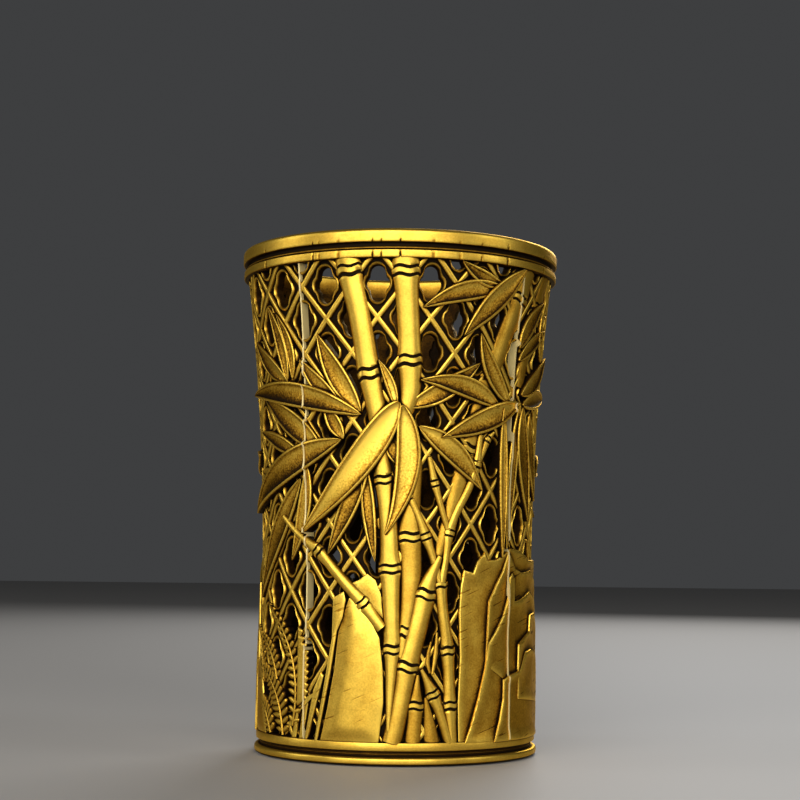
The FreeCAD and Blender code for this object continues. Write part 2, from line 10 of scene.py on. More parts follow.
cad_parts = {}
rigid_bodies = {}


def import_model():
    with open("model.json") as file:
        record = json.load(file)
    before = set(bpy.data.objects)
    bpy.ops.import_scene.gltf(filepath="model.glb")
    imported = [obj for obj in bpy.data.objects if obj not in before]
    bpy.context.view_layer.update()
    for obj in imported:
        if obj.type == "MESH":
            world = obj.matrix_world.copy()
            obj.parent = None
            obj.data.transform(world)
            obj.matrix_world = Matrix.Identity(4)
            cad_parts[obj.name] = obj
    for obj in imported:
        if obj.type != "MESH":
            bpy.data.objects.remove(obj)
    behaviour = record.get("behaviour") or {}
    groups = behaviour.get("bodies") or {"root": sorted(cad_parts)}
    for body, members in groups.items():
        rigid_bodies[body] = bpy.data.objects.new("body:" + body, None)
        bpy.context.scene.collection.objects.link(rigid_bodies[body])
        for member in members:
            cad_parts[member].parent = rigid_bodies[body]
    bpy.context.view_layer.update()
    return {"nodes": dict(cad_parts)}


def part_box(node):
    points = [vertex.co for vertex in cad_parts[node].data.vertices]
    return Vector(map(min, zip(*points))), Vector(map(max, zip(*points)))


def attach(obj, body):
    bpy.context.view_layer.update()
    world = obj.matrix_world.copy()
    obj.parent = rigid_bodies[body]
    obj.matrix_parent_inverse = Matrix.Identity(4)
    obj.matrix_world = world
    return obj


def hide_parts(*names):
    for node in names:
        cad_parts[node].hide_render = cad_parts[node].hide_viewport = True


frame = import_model()

# ---------------------------------------------------------------- rim ring
# The cup's top moulding, a turned cast-brass ring that the wall panels stand up into. It has a
# rounded main band over a dark groove with a fine bead, and small hand-filed nicks round its lower
# edge. Everything is drawn in millimetres and made metres when the piece is finished.
MM = 0.001
RIM_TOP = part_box("rim_ring")[1].z / MM
RIM_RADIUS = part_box("rim_ring")[1].x / MM
RIM_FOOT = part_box("rim_ring")[0].z / MM
RING_STEPS = 720
NICKS = [-71, -52, -33, -18.7, -17.1, -12.9, -5.6, -3.8, 0, 6.7, 12.3, 17.3, 24, 37, 51, 62, 84,
         101]
PATTERN_RADIUS = 34.0  # the radius at which distances round the wall are counted


def wear_and_shade_layer(bm):
    """The vertices' wear, from 0 in a recess that keeps its patina to 1 on a bright edge; on
    leaves, canes and rocks it also holds painted light and shade.
    """
    return bm.verts.layers.float.get("wear") or bm.verts.layers.float.new("wear")


def turned_ring(profile):
    """A ring turned about the cup's axis from a closed profile of (radius, height, wear)."""
    bm = bmesh.new()
    wear = wear_and_shade_layer(bm)
    verts = []
    for radius, height, worn_and_shaded in profile:
        vert = bm.verts.new((0, -radius, height))
        vert[wear] = worn_and_shaded
        verts.append(vert)
    edges = [bm.edges.new(pair) for pair in zip(verts, verts[1:] + verts[:1])]
    bmesh.ops.spin(bm, geom=verts + edges, cent=(0, 0, 0), axis=(0, 0, 1), angle=math.tau,
                   steps=RING_STEPS, use_merge=True, use_duplicate=False)
    bmesh.ops.recalc_face_normals(bm, faces=bm.faces)
    return bm


def arc(centre, radius, first, last, steps, worn_and_shaded):
    """Profile points on an arc, from the angle first to last in degrees."""
    turns = [math.radians(first + (last - first) * i / steps) for i in range(steps + 1)]
    x, z = centre
    return [(x + radius * math.cos(a), z + radius * math.sin(a), worn_and_shaded) for a in turns]


def file_nicks(bm, low, high, radius, depth):
    """Short upright nicks filed into the band between two heights."""
    wear = wear_and_shade_layer(bm)
    half_width = 0.22
    for vert in bm.verts:
        if low <= vert.co.z <= high and vert.co.xy.length > radius:
            along = math.atan2(vert.co.x, -vert.co.y) * PATTERN_RADIUS
            gap = min(abs(along - nick) for nick in NICKS)
            if gap < half_width:
                share = 1 - gap / half_width
                vert.co.xy *= 1 - depth * share / vert.co.xy.length
                vert[wear] *= 1 - share


def finish_piece(bm, name, material, sharp=40):
    """Turns a drawing in millimetres into a piece in metres that rides on the cup."""
    mesh = bpy.data.meshes.new(name)
    bmesh.ops.scale(bm, vec=(MM, MM, MM), verts=bm.verts)
    bm.to_mesh(mesh)
    bm.free()
    mesh.polygons.foreach_set("use_smooth", [True] * len(mesh.polygons))
    mesh.set_sharp_from_angle(angle=math.radians(sharp))
    mesh.materials.append(material)
    piece = bpy.data.objects.new(name, mesh)
    bpy.context.scene.collection.objects.link(piece)
    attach(piece, "root")
    return piece


def new_material(name):
    """A material, its node tree and its shader's inputs."""
    material = bpy.data.materials.new(name)
    material.use_nodes = True
    tree = material.node_tree
    return material, tree, tree.nodes["Principled BSDF"].inputs


def object_place(tree):
    """The place on the object that a texture is looked up at."""
    return tree.nodes.new("ShaderNodeTexCoord").outputs["Object"]


def link(tree, source, target):
    tree.links.new(source, target)


def maths(tree, operation, *values, clamp=False):
    """A Math node on sockets and numbers, and its output."""
    node = tree.nodes.new("ShaderNodeMath")
    node.operation = operation
    node.use_clamp = clamp
    for socket, value in zip(node.inputs, values):
        if isinstance(value, (int, float)):
            socket.default_value = value
        else:
            link(tree, value, socket)
    return node.outputs[0]


def noise(tree, coordinates, scale, detail):
    """A noise texture, and its output."""
    node = tree.nodes.new("ShaderNodeTexNoise")
    node.inputs["Scale"].default_value = scale
    node.inputs["Detail"].default_value = detail
    link(tree, coordinates, node.inputs["Vector"])
    return node.outputs["Fac"]


def map_range(tree, value, low, high, new_low=0.0, new_high=1.0, kind="LINEAR"):
    """A Map Range node from low and high to new_low and new_high, and its output."""
    node = tree.nodes.new("ShaderNodeMapRange")
    node.interpolation_type = kind
    limits = {"From Min": low, "From Max": high, "To Min": new_low, "To Max": new_high}
    for name, number in limits.items():
        node.inputs[name].default_value = number
    link(tree, value, node.inputs["Value"])
    return node.outputs["Result"]


def stretched(tree, coordinates, size, tilt=0.0):
    """Coordinates with units of size on each axis, tilted about y, so that noise draws lines."""
    node = tree.nodes.new("ShaderNodeMapping")
    node.vector_type = "TEXTURE"
    node.inputs["Rotation"].default_value = (0, tilt, 0)
    node.inputs["Scale"].default_value = size
    link(tree, coordinates, node.inputs["Vector"])
    return node.outputs["Vector"]


CLOUDS, SPECKS, GRAIN = 260, 2400, 5200  # the patina's clouds, pits and grains in a metre
CREASE_REACH = 1.0 * MM  # so close to a wall or step, the polishing cloth doesn't reach, and painted shade darkens the patina there too
SHELTERED, OPEN = 0.46, 0.90  # how open a spot is that is darkened fully by patina and painted shade, or not at all
BRASS_TONES = [  # wear, and the colour at it
    (0.0, (0.008, 0.004, 0.002)),
    (0.20, (0.030, 0.013, 0.003)),
    (0.40, (0.125, 0.056, 0.006)),
    (0.66, (0.50, 0.264, 0.023)),
    (1.0, (0.90, 0.59, 0.080)),
]
MATT, POLISHED = 0.62, 0.36  # roughness of the patina and of the rubbed brass
BRUSH_STROKE = (1 / 260, 1 / 260, 1 / 9000)
SCRATCH, SCRATCH_TILT = (6.5 * MM, 6.5 * MM, 0.5 * MM), math.radians(-24)


def aged_brass_group():
    """Brass under a dark patina that was wiped off its high spots, with painted shade in its
    creases, as values for a shader.
    """
    group = bpy.data.node_groups.new("aged_brass", "ShaderNodeTree")
    for name in ("Wear", "Stipple", "Brushing", "Scratches"):
        group.interface.new_socket(name, in_out="INPUT", socket_type="NodeSocketFloat")
    for name in ("Color", "Roughness", "Metallic", "Height"):
        kind = "NodeSocketColor" if name == "Color" else "NodeSocketFloat"
        group.interface.new_socket(name, in_out="OUTPUT", socket_type=kind)
    given = group.nodes.new("NodeGroupInput").outputs
    result = group.nodes.new("NodeGroupOutput").inputs
    place = object_place(group)
    clouds = noise(group, place, CLOUDS, 3)
    specks = noise(group, place, SPECKS, 2)
    grain = noise(group, place, GRAIN, 1)
    scratch = noise(group, stretched(group, place, SCRATCH, SCRATCH_TILT), 1, 0)
    scratched = maths(group, "MULTIPLY", map_range(group, scratch, 0.73, 0.78), given["Scratches"])
    # ambient occlusion finds the creases, which keep their patina and also get painted shade
    crease = group.nodes.new("ShaderNodeAmbientOcclusion")
    crease.samples = 16
    crease.inputs["Distance"].default_value = CREASE_REACH

    # the wear that each vertex brings, made uneven and scratched, then darkened in the creases by
    # patina and by painted shade
    worn_and_shaded = maths(group, "ADD", given["Wear"], maths(group, "MULTIPLY_ADD", clouds, 0.34, -0.17))
    pitted = maths(group, "MULTIPLY", maths(group, "SUBTRACT", specks, 0.5), given["Stipple"])
    worn_and_shaded = maths(group, "ADD", worn_and_shaded, pitted)
    worn_and_shaded = maths(group, "SUBTRACT", worn_and_shaded, maths(group, "MULTIPLY", scratched, 0.5))
    open_sky = map_range(group, crease.outputs["AO"], SHELTERED, OPEN, kind="SMOOTHSTEP")
    worn_and_shaded = maths(group, "MULTIPLY", worn_and_shaded, open_sky, clamp=True)

    ramp = group.nodes.new("ShaderNodeValToRGB")
    tones = ramp.color_ramp.elements
    while len(tones) < len(BRASS_TONES):
        tones.new(0.5)
    for element, (position, colour) in zip(tones, BRASS_TONES):
        element.position = position
        element.color = (*colour, 1)
    link(group, worn_and_shaded, ramp.inputs["Fac"])
    link(group, ramp.outputs["Color"], result["Color"])

    sheen = map_range(group, worn_and_shaded, 0, 1, MATT, POLISHED)
    textured = maths(group, "MULTIPLY_ADD", grain, 0.12, -0.06)
    link(group, maths(group, "ADD", sheen, textured, clamp=True), result["Roughness"])
    link(group, map_range(group, worn_and_shaded, 0, 0.35, 0.6), result["Metallic"])

    brushed = noise(group, stretched(group, place, BRUSH_STROKE), 1, 2)
    height = maths(group, "MULTIPLY", brushed, given["Brushing"])
    height = maths(group, "ADD", height, maths(group, "MULTIPLY", specks, given["Stipple"]))
    height = maths(group, "ADD", height, maths(group, "MULTIPLY", grain, 0.25))
    height = maths(group, "SUBTRACT", height, maths(group, "MULTIPLY", scratched, 2.0))
    link(group, height, result["Height"])
    return group


AGED_BRASS = aged_brass_group()


def aged_brass(name, stipple, brushing, scratches=0.0):
    """A material of the aged brass, more or less pitted, brushed and scratched."""
    material, tree, shader = new_material(name)
    brass = tree.nodes.new("ShaderNodeGroup")
    brass.node_tree = AGED_BRASS
    for socket, amount in (("Stipple", stipple), ("Brushing", brushing), ("Scratches", scratches)):
        brass.inputs[socket].default_value = amount
    worn_and_shaded = tree.nodes.new("ShaderNodeAttribute")
    worn_and_shaded.attribute_name = "wear"
    link(tree, worn_and_shaded.outputs["Fac"], brass.inputs["Wear"])
    link(tree, brass.outputs["Color"], shader["Base Color"])
    link(tree, brass.outputs["Roughness"], shader["Roughness"])
    link(tree, brass.outputs["Metallic"], shader["Metallic"])
    shader["Specular IOR Level"].default_value = 0.2
    shader["Specular Tint"].default_value = (1.0, 0.80, 0.50, 1)
    bump = tree.nodes.new("ShaderNodeBump")
    bump.inputs["Strength"].default_value = 0.35
    bump.inputs["Distance"].default_value = 0.05 * MM
    link(tree, brass.outputs["Height"], bump.inputs["Height"])
    link(tree, bump.outputs["Normal"], shader["Normal"])
    return material


band_brass = aged_brass("band_brass", stipple=0.25, brushing=0.8)
neck_radius = RIM_RADIUS - 0.95
band_foot = RIM_FOOT + 1.65
mouth_radius = 35.05
rim_profile = [
    (mouth_radius, RIM_FOOT, 0.3),
    (neck_radius - 0.1, RIM_FOOT, 0.0),
    (neck_radius - 0.1, RIM_FOOT + 0.15, 0.05),
    *arc((neck_radius - 0.05, RIM_FOOT + 0.42), 0.27, -70, 70, 4, 0.55),
    (neck_radius - 0.35, RIM_FOOT + 0.85, 0.0),
    (neck_radius - 0.35, band_foot - 0.05, 0.0),
    (RIM_RADIUS - 0.3, band_foot, 0.25),
    (RIM_RADIUS - 0.08, band_foot + 0.1, 0.8),
    (RIM_RADIUS, band_foot + 0.35, 0.95),
    (RIM_RADIUS, band_foot + 0.9, 0.85),
    (RIM_RADIUS, RIM_TOP - 1.3, 0.88),
    *arc((RIM_RADIUS - 0.9, RIM_TOP - 0.9), 0.9, 0, 90, 6, 0.97),
    *arc((mouth_radius + 0.9, RIM_TOP - 0.9), 0.9, 90, 180, 6, 0.85),
    (mouth_radius, RIM_TOP - 2.5, 0.6),
]
rim = turned_ring(rim_profile)
file_nicks(rim, band_foot - 0.1, band_foot + 0.5, neck_radius + 0.3, 0.25)
rim_piece = finish_piece(rim, "rim_moulding", band_brass)
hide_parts("rim_ring")

# ---------------------------------------------------------------- foot ring
# The bottom moulding, a turned brass ring with a rounded band and a deep neck over it. The panels'
# tongues stand in its groove, and the floor sits on the flange inside it.
FOOT_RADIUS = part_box("foot_ring")[1].x / MM
FOOT_UNDER, FOOT_TOP = (corner.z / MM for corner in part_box("foot_ring"))
foot_band_top = FOOT_UNDER + 1.8
flange_top = 2.8
flange_under = 1.2
foot_profile = [
    (29.5, FOOT_UNDER, 0.35),
    *arc((FOOT_RADIUS - 0.6, FOOT_UNDER + 0.6), 0.6, -90, 0, 5, 0.9),
    *arc((FOOT_RADIUS - 0.6, foot_band_top - 0.6), 0.6, 0, 90, 5, 0.95),
    (FOOT_RADIUS - 1.15, foot_band_top, 0.1),
    (FOOT_RADIUS - 1.4, foot_band_top + 0.1, 0.0),
    *arc((FOOT_RADIUS - 1.45, foot_band_top + 0.62), 0.2, -70, 70, 4, 0.5),
    (FOOT_RADIUS - 1.4, FOOT_TOP - 0.1, 0.0),
    (FOOT_RADIUS - 1.4, FOOT_TOP, 0.0),
    (29.5, FOOT_TOP, 0.2),
    (29.5, flange_top, 0.2),
    (24.0, flange_top, 0.2),
    (24.0, flange_under, 0.2),
    (29.5, flange_under, 0.2),
]
foot_piece = finish_piece(turned_ring(foot_profile), "foot_moulding", band_brass)
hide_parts("foot_ring")

# ---------------------------------------------------------------- wall panels: the lattice
# Four cast quarter panels make the sleeve. Their ground is a diamond lattice of ridged straps, and
# in each diamond a beaded quatrefoil opening goes right through the wall. The panel is drawn flat,
# with x along the wall, z up and -y standing out, and is then bent round the flared sleeve.
GROUND_RADIUS = 31.7  # the sleeve's radius at the foot, between the straps
WALL = 1.5
FLARE_START = 40.0  # the height from which the sleeve flares
FLARE_ARC = 585.0  # the radius of the arc on which it flares
LATTICE_FOOT = 5.3
BAND_FOOT = 113.3
COLUMNS = 18  # openings round the sleeve in one row
HALF_COLUMN = 360.0 / COLUMNS / 2
FIRST_COLUMN = 12.0
FIRST_ROW = 107.8
ROW_STEP = 7.7  # from a row to the next one down, which is half a column over
HALF_WIDE = math.radians(HALF_COLUMN) * PATTERN_RADIUS
DRIFT = 1.0  # how far the columns stray from even spacing, in degrees
DRIFT_START = -18.0
SIDE_STEPS = 8  # points along each side of a diamond
SEAMS = [-39.0, 51.0, 141.0]  # where the front, right and back panels begin, in degrees
SEAM_GAP = 0.06  # half the gap between two panels
QUARTER = math.pi / 2 * PATTERN_RADIUS
HALF_TURN = 2 * QUARTER


def flare(z):
    """How much farther out the sleeve stands at a height than at its foot."""
    rise = max(z - FLARE_START, 0.0)
    return FLARE_ARC - math.sqrt(FLARE_ARC**2 - rise**2)


def around(degrees):
    """The distance round the wall to an angle."""
    return math.radians(degrees) * PATTERN_RADIUS


def bend_round(bm):
    """Bends a flat drawing round the sleeve."""
    for vert in bm.verts:
        along, depth, z = vert.co
        radius = GROUND_RADIUS + flare(z) - depth
        angle = along / PATTERN_RADIUS
        vert.co = (radius * math.sin(angle), -radius * math.cos(angle), z)


def drifted(along):
    """The lattice was cut by hand, and its columns crowd a little towards the seams."""
    degrees = math.degrees(along / PATTERN_RADIUS)
    shift = DRIFT * (1 - math.cos(math.radians(2 * (degrees - DRIFT_START))))
    return along - around(shift)


def lobed(angle, side, end):
    """How far a four-lobed outline reaches at an angle. side and end are (offset, radius)."""
    reach = 0.0
    (across, wide), (up, high) = side, end
    for x, z, radius in ((across, 0, wide), (-across, 0, wide), (0, up, high), (0, -up, high)):
        ahead = x * math.cos(angle) + z * math.sin(angle)
        inside = ahead**2 - x**2 - z**2 + radius**2
        if inside > 0:
            reach = max(reach, ahead + math.sqrt(inside))
    return reach


def diamond_point(step, inset=0.0):
    """A point on the diamond round an opening, going round by steps, set in from its sides."""
    corners = [(HALF_WIDE, 0), (0, ROW_STEP), (-HALF_WIDE, 0), (0, -ROW_STEP)]
    side, part = divmod(step % (4 * SIDE_STEPS), SIDE_STEPS)
    share = part / SIDE_STEPS
    (x0, z0), (x1, z1) = corners[side], corners[(side + 1) % 4]
    size = 1 - inset / (HALF_WIDE * ROW_STEP / math.hypot(HALF_WIDE, ROW_STEP))
    return (x0 + (x1 - x0) * share) * size, (z0 + (z1 - z0) * share) * size


# the opening and the bead round it, as four-lobed outlines
HOLE = ((0.75, 1.9), (2.3, 1.8))
BEAD_INNER = ((0.80, 2.04), (2.42, 1.84))
BEAD_CREST = ((0.86, 2.22), (2.58, 1.94))
BEAD_OUTER = ((0.92, 2.42), (2.74, 2.03))
BEAD_FOOT = ((0.95, 2.56), (2.80, 2.12))
# from the panel's inner face out to the straps: outline, stand over the ground, wear
CELL_RINGS = [
    ("diamond", 0.0, -WALL, 0.25),
    ("lobes", HOLE, -WALL, 0.2),
    ("lobes", HOLE, 0.0, 0.12),
    ("lobes", BEAD_INNER, 0.55, 0.7),
    ("lobes", BEAD_CREST, 0.76, 1.0),
    ("lobes", BEAD_OUTER, 0.58, 0.85),
    ("lobes", BEAD_FOOT, 0.0, 0.0),
    ("diamond", 0.70, 0.0, 0.0),
    ("diamond", 0.53, 0.64, 0.72),
    ("diamond", 0.36, 0.78, 1.0),
    ("diamond", 0.0, 0.80, 0.82),
]


def only(kind, items):
    return [item for item in items if isinstance(item, kind)]


def lattice_cell():
    """One diamond of the lattice: a loop pulled from outline to outline, from the inside out."""
    bm = bmesh.new()
    wear = wear_and_shade_layer(bm)
    count = 4 * SIDE_STEPS
    bmesh.ops.create_circle(bm, segments=count, radius=1)
    bm.verts.ensure_lookup_table()
    verts, edges = list(bm.verts), list(bm.edges)
    for ring, (kind, outline, stand, worn_and_shaded) in enumerate(CELL_RINGS):
        if ring:
            pulled = bmesh.ops.extrude_edge_only(bm, edges=edges)["geom"]
            edges = only(bmesh.types.BMEdge, pulled)
            verts = sorted(only(bmesh.types.BMVert, pulled),
                           key=lambda vert: ring_order[vert.co.to_tuple(5)])
        ring_order = {}
        for step, vert in enumerate(verts):
            x, z = diamond_point(step, outline if kind == "diamond" else 0)
            if kind == "lobes":
                angle = math.atan2(z, x)
                reach = lobed(angle, *outline)
                x, z = reach * math.cos(angle), reach * math.sin(angle)
            vert.co = (x, -stand, z)
            vert[wear] = worn_and_shaded
            ring_order[vert.co.to_tuple(5)] = step
    return bm


def lattice_sheet(low, high):
    """The lattice between two places along the wall. It runs on a little behind both bands."""
    cell = bpy.data.meshes.new("lattice_cell")
    pattern = lattice_cell()
    pattern.to_mesh(cell)
    pattern.free()
    bm = bmesh.new()
    reach = 2 * HALF_WIDE
    first = math.floor((low - reach) / HALF_WIDE)
    last = math.ceil((high + reach) / HALF_WIDE)
    start = around(FIRST_COLUMN)
    for row in range(-1, 15):
        for column in range(first, last + 1):
            if (column + row) % 2 == 0:
                before = len(bm.verts)
                bm.from_mesh(cell)
                bm.verts.ensure_lookup_table()
                move = Vector((start + column * HALF_WIDE, 0, FIRST_ROW - row * ROW_STEP))
                bmesh.ops.translate(bm, vec=move, verts=bm.verts[before:])
    bpy.data.meshes.remove(cell)
    bmesh.ops.remove_doubles(bm, verts=bm.verts, dist=0.01)
    for vert in bm.verts:
        vert.co.x = drifted(vert.co.x)
    bmesh.ops.recalc_face_normals(bm, faces=bm.faces)
    cut(bm, (0, 0, LATTICE_FOOT - 1.2), (0, 0, -1))
    cut(bm, (0, 0, BAND_FOOT + 0.9), (0, 0, 1))
    return bm


def cut(bm, point, away):
    """Cuts off what lies past a plane, and closes the cut."""
    everything = bm.verts[:] + bm.edges[:] + bm.faces[:]
    made = bmesh.ops.bisect_plane(bm, geom=everything, plane_co=point, plane_no=away,
                                  clear_outer=True)
    edges = only(bmesh.types.BMEdge, made["geom_cut"])
    if edges:
        bmesh.ops.holes_fill(bm, edges=edges, sides=0)


def quarter_of(drawing, seam, turns=(0,)):
    """The part of a flat drawing that lies on the panel after a seam, bent round the sleeve."""
    bm = bmesh.new()
    low = around(seam)
    for turn in turns:
        before = len(bm.verts)
        bm.from_mesh(drawing)
        bm.verts.ensure_lookup_table()
        bmesh.ops.translate(bm, vec=(turn * HALF_TURN, 0, 0), verts=bm.verts[before:])
    cut(bm, (low + SEAM_GAP, 0, 0), (-1, 0, 0))
    cut(bm, (low + QUARTER - SEAM_GAP, 0, 0), (1, 0, 0))
    bend_round(bm)
    return bm


def mesh_of(bm, name):
    mesh = bpy.data.meshes.new(name)
    bm.to_mesh(mesh)
    bm.free()
    return mesh


# The relief repeats half a turn on, so the front's panel serves the back and the right's the left.
PANELS = [("front", 0, 0), ("right", 1, 0), ("back", 0, math.pi), ("left", 1, math.pi)]


def panels_of(flat, kind, material, wrap_turns=((0,), (0, 1)), sharp=40):
    """One piece of this kind on each of the four panels, from one flat drawing."""
    drawing = mesh_of(flat, kind)
    for side, seam_index, turned in PANELS:
        bm = quarter_of(drawing, SEAMS[seam_index], wrap_turns[seam_index])
        turn = Matrix.Rotation(turned, 3, "Z")
        bmesh.ops.rotate(bm, verts=bm.verts, cent=(0, 0, 0), matrix=turn)
        piece = finish_piece(bm, f"{kind}_{side}", material, sharp)
        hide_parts(f"wall_panel_{side}")
    bpy.data.meshes.remove(drawing)


lattice_brass = aged_brass("lattice_brass", stipple=0.35, brushing=0.1)
lattice = lattice_sheet(around(SEAMS[0]), around(SEAMS[2]))
panels_of(lattice, "lattice", lattice_brass, wrap_turns=((0,), (0,)))

# ---------------------------------------------------------------- wall panels: the bands
# Each panel ends in a plain moulding cast with it: the rim's lower band at the top, and the foot's
# upper band at the bottom. Both were filed bright, and the top one keeps patina in its nicks.
WALL_BAND_RADIUS = 38.2
WALL_FOOT_RADIUS = 33.3
wall_band = turned_ring([
    (35.0, BAND_FOOT, 0.2),
    (WALL_BAND_RADIUS - 0.35, BAND_FOOT, 0.1),
    (WALL_BAND_RADIUS - 0.08, BAND_FOOT + 0.12, 0.75),
    (WALL_BAND_RADIUS, BAND_FOOT + 0.35, 0.95),
    (WALL_BAND_RADIUS, BAND_FOOT + 1.0, 0.85),
    (WALL_BAND_RADIUS - 0.05, RIM_FOOT - 0.2, 0.95),
    (WALL_BAND_RADIUS - 0.3, RIM_FOOT, 0.5),
    (mouth_radius, RIM_FOOT, 0.2),
])
file_nicks(wall_band, BAND_FOOT - 0.1, BAND_FOOT + 1.1, WALL_BAND_RADIUS - 0.5, 0.3)
foot_band = turned_ring([
    (30.2, FOOT_TOP, 0.2),
    (WALL_FOOT_RADIUS - 0.3, FOOT_TOP, 0.2),
    (WALL_FOOT_RADIUS - 0.06, FOOT_TOP + 0.12, 0.8),
    (WALL_FOOT_RADIUS, FOOT_TOP + 0.35, 0.9),
    (WALL_FOOT_RADIUS, FOOT_TOP + 1.5, 0.85),
    (WALL_FOOT_RADIUS - 0.1, LATTICE_FOOT - 0.1, 0.9),
    (WALL_FOOT_RADIUS - 0.35, LATTICE_FOOT, 0.3),
    (30.2, LATTICE_FOOT, 0.1),
])
for band, name in ((wall_band, "wall_band"), (foot_band, "foot_band")):
    whole = mesh_of(band, name)
    for number, (side, _, _) in enumerate(PANELS):
        bm = bmesh.new()
        bm.from_mesh(whole)
        start = math.radians(SEAMS[0] + 90 * number)
        cut(bm, (0, 0, 0), (-math.cos(start), -math.sin(start), 0))
        cut(bm, (0, 0, 0), (-math.sin(start), math.cos(start), 0))
        piece = finish_piece(bm, f"{name}_{side}", band_brass)
        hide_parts(f"wall_panel_{side}")
    bpy.data.meshes.remove(whole)

# ---------------------------------------------------------------- bamboo leaves
# Long pointed leaves in fans, cast proud of the lattice at several heights so that they overlap.
# Each has a thin bright rim round a hollow blade whose pits keep the patina.
BURIED = -0.9  # how deep the raised work is rooted in the wall, short of the inner face


def left_of(way):
    return Vector((-way.y, way.x))


def raised_sheet(bm, along, across, place):
    """A closed raised piece: a sheet in the wall, pulled up past its foot to its top. place(s, t,
    level) gives along, z, stand and wear, for s from 0 to 1, t from -1 to 1 and level 0 to 2."""
    wear = wear_and_shade_layer(bm)
    ahead = bm.verts.layers.float.get("ahead") or bm.verts.layers.float.new("ahead")
    aside = bm.verts.layers.float.get("aside") or bm.verts.layers.float.new("aside")
    made = bmesh.ops.create_grid(bm, x_segments=along, y_segments=across, size=1)
    verts = made["verts"]
    for vert in verts:
        vert[ahead], vert[aside] = (vert.co.x + 1) / 2, vert.co.y
    faces = list(dict.fromkeys(face for vert in verts for face in vert.link_faces))
    used = dict.fromkeys(verts)
    for level in range(3):
        if level:
            # the first pull leaves the sheet behind as the bottom, the second takes it along
            taken = faces if level == 2 else ()
            edges = dict.fromkeys(edge for face in taken for edge in face.edges)
            pulled = bmesh.ops.extrude_face_region(bm, geom=[*faces, *edges])["geom"]
            faces = only(bmesh.types.BMFace, pulled)
        current = dict.fromkeys(vert for face in faces for vert in face.verts)
        used.update(current)
        for vert in current:
            x, z, stand, worn_and_shaded = place(vert[ahead], vert[aside], level)
            vert.co = (x, -stand, z)
            vert[wear] = worn_and_shaded
    bmesh.ops.remove_doubles(bm, verts=[vert for vert in used if vert.is_valid], dist=0.004)


# from a leaf's middle line out: share of the hollow's half width, depth, wear beside the hollow's
LEAF_HOLLOW = [(0.0, 0.42, 0.04), (0.36, 0.40, 0.05), (0.70, 0.33, 0.0)]
# then over its rim: distance in from the edge, at most what share of the half width, depth, wear
# (the first row is the rim's inner foot, and its wear again counts beside the hollow's)
LEAF_RIM = [(0.64, 0.45, 0.24, -0.30), (0.48, 0.34, 0.0, 0.95), (0.16, 0.14, 0.0, 1.0),
            (0.0, 0.0, 0.16, 0.80)]
RIM_WIDTH, RIM_SHARE = 0.64, 0.4  # a rim's width, and the most of a half width that it takes
POINTED = 0.95  # how a leaf narrows to its tip
FULL_HALF = 1.5  # the half width from which a leaf is as deep as its section says
LOWEST_LEAF = 1.30  # the stand of the lowest leaf, which just clears the lattice
UPPER_PAINTED_LIGHT, BASE_SHINE = 0.32, 0.40  # painted light: how much lighter a hollow's upper side is, as if lit from above; and how much brighter its base is


def leaf_shape(base, tip, width, bow, stand, shade, blunt=0.75):
    """Gives place() for a leaf from base to tip. It bows to its left, narrows to its base by blunt,
    and shade is its hollow's wear. The higher it stands, the deeper it is hollowed."""
    base, tip = Vector(base), Vector(tip)
    spine = tip - base
    length = spine.length
    hollow = 1 + 0.4 * (stand - LOWEST_LEAF)
    ahead = spine / length
    aside = left_of(ahead)
    fullest = blunt / (blunt + POINTED)
    peak = fullest**blunt * (1 - fullest) ** POINTED

    def place(s, t, level):
        # points crowd towards both ends, where the outline turns fastest
        s = (1 - math.cos(math.pi * s)) / 2
        half = width / 2 * (s**blunt * (1 - s) ** POINTED if 0 < s < 1 else 0) / peak
        centre = base + ahead * (length * s) + aside * (bow * 4 * s * (1 - s))
        step = round(abs(t) * 6)
        full = min(1, half / FULL_HALF)
        if step < 3:
            share, depth, worn_and_shaded = LEAF_HOLLOW[step]
            out = (half - min(RIM_WIDTH, half * RIM_SHARE)) * share
        else:
            inset, most, depth, worn_and_shaded = LEAF_RIM[step - 3]
            out = half - min(inset, half * most)
        if step < 4:
            # painted light: the hollow's upper side is lighter, as if lit from above; it is also
            # brighter towards its base
            lit_upper_side = aside.y * math.copysign(min(step, 2) / 2, t)
            worn_and_shaded += shade + UPPER_PAINTED_LIGHT * lit_upper_side + BASE_SHINE * (0.40 - s)
            full *= hollow
        if level < 2:
            out, depth, full, worn_and_shaded = out + 0.05, max(0.62, 0.5 * hollow), 1, 0.0
        x, z = centre + aside * math.copysign(out, t)
        drop = 1.2 * max(0, s - 0.7) ** 2
        return x, z, (BURIED if level == 0 else stand - depth * full - drop), worn_and_shaded

    return place


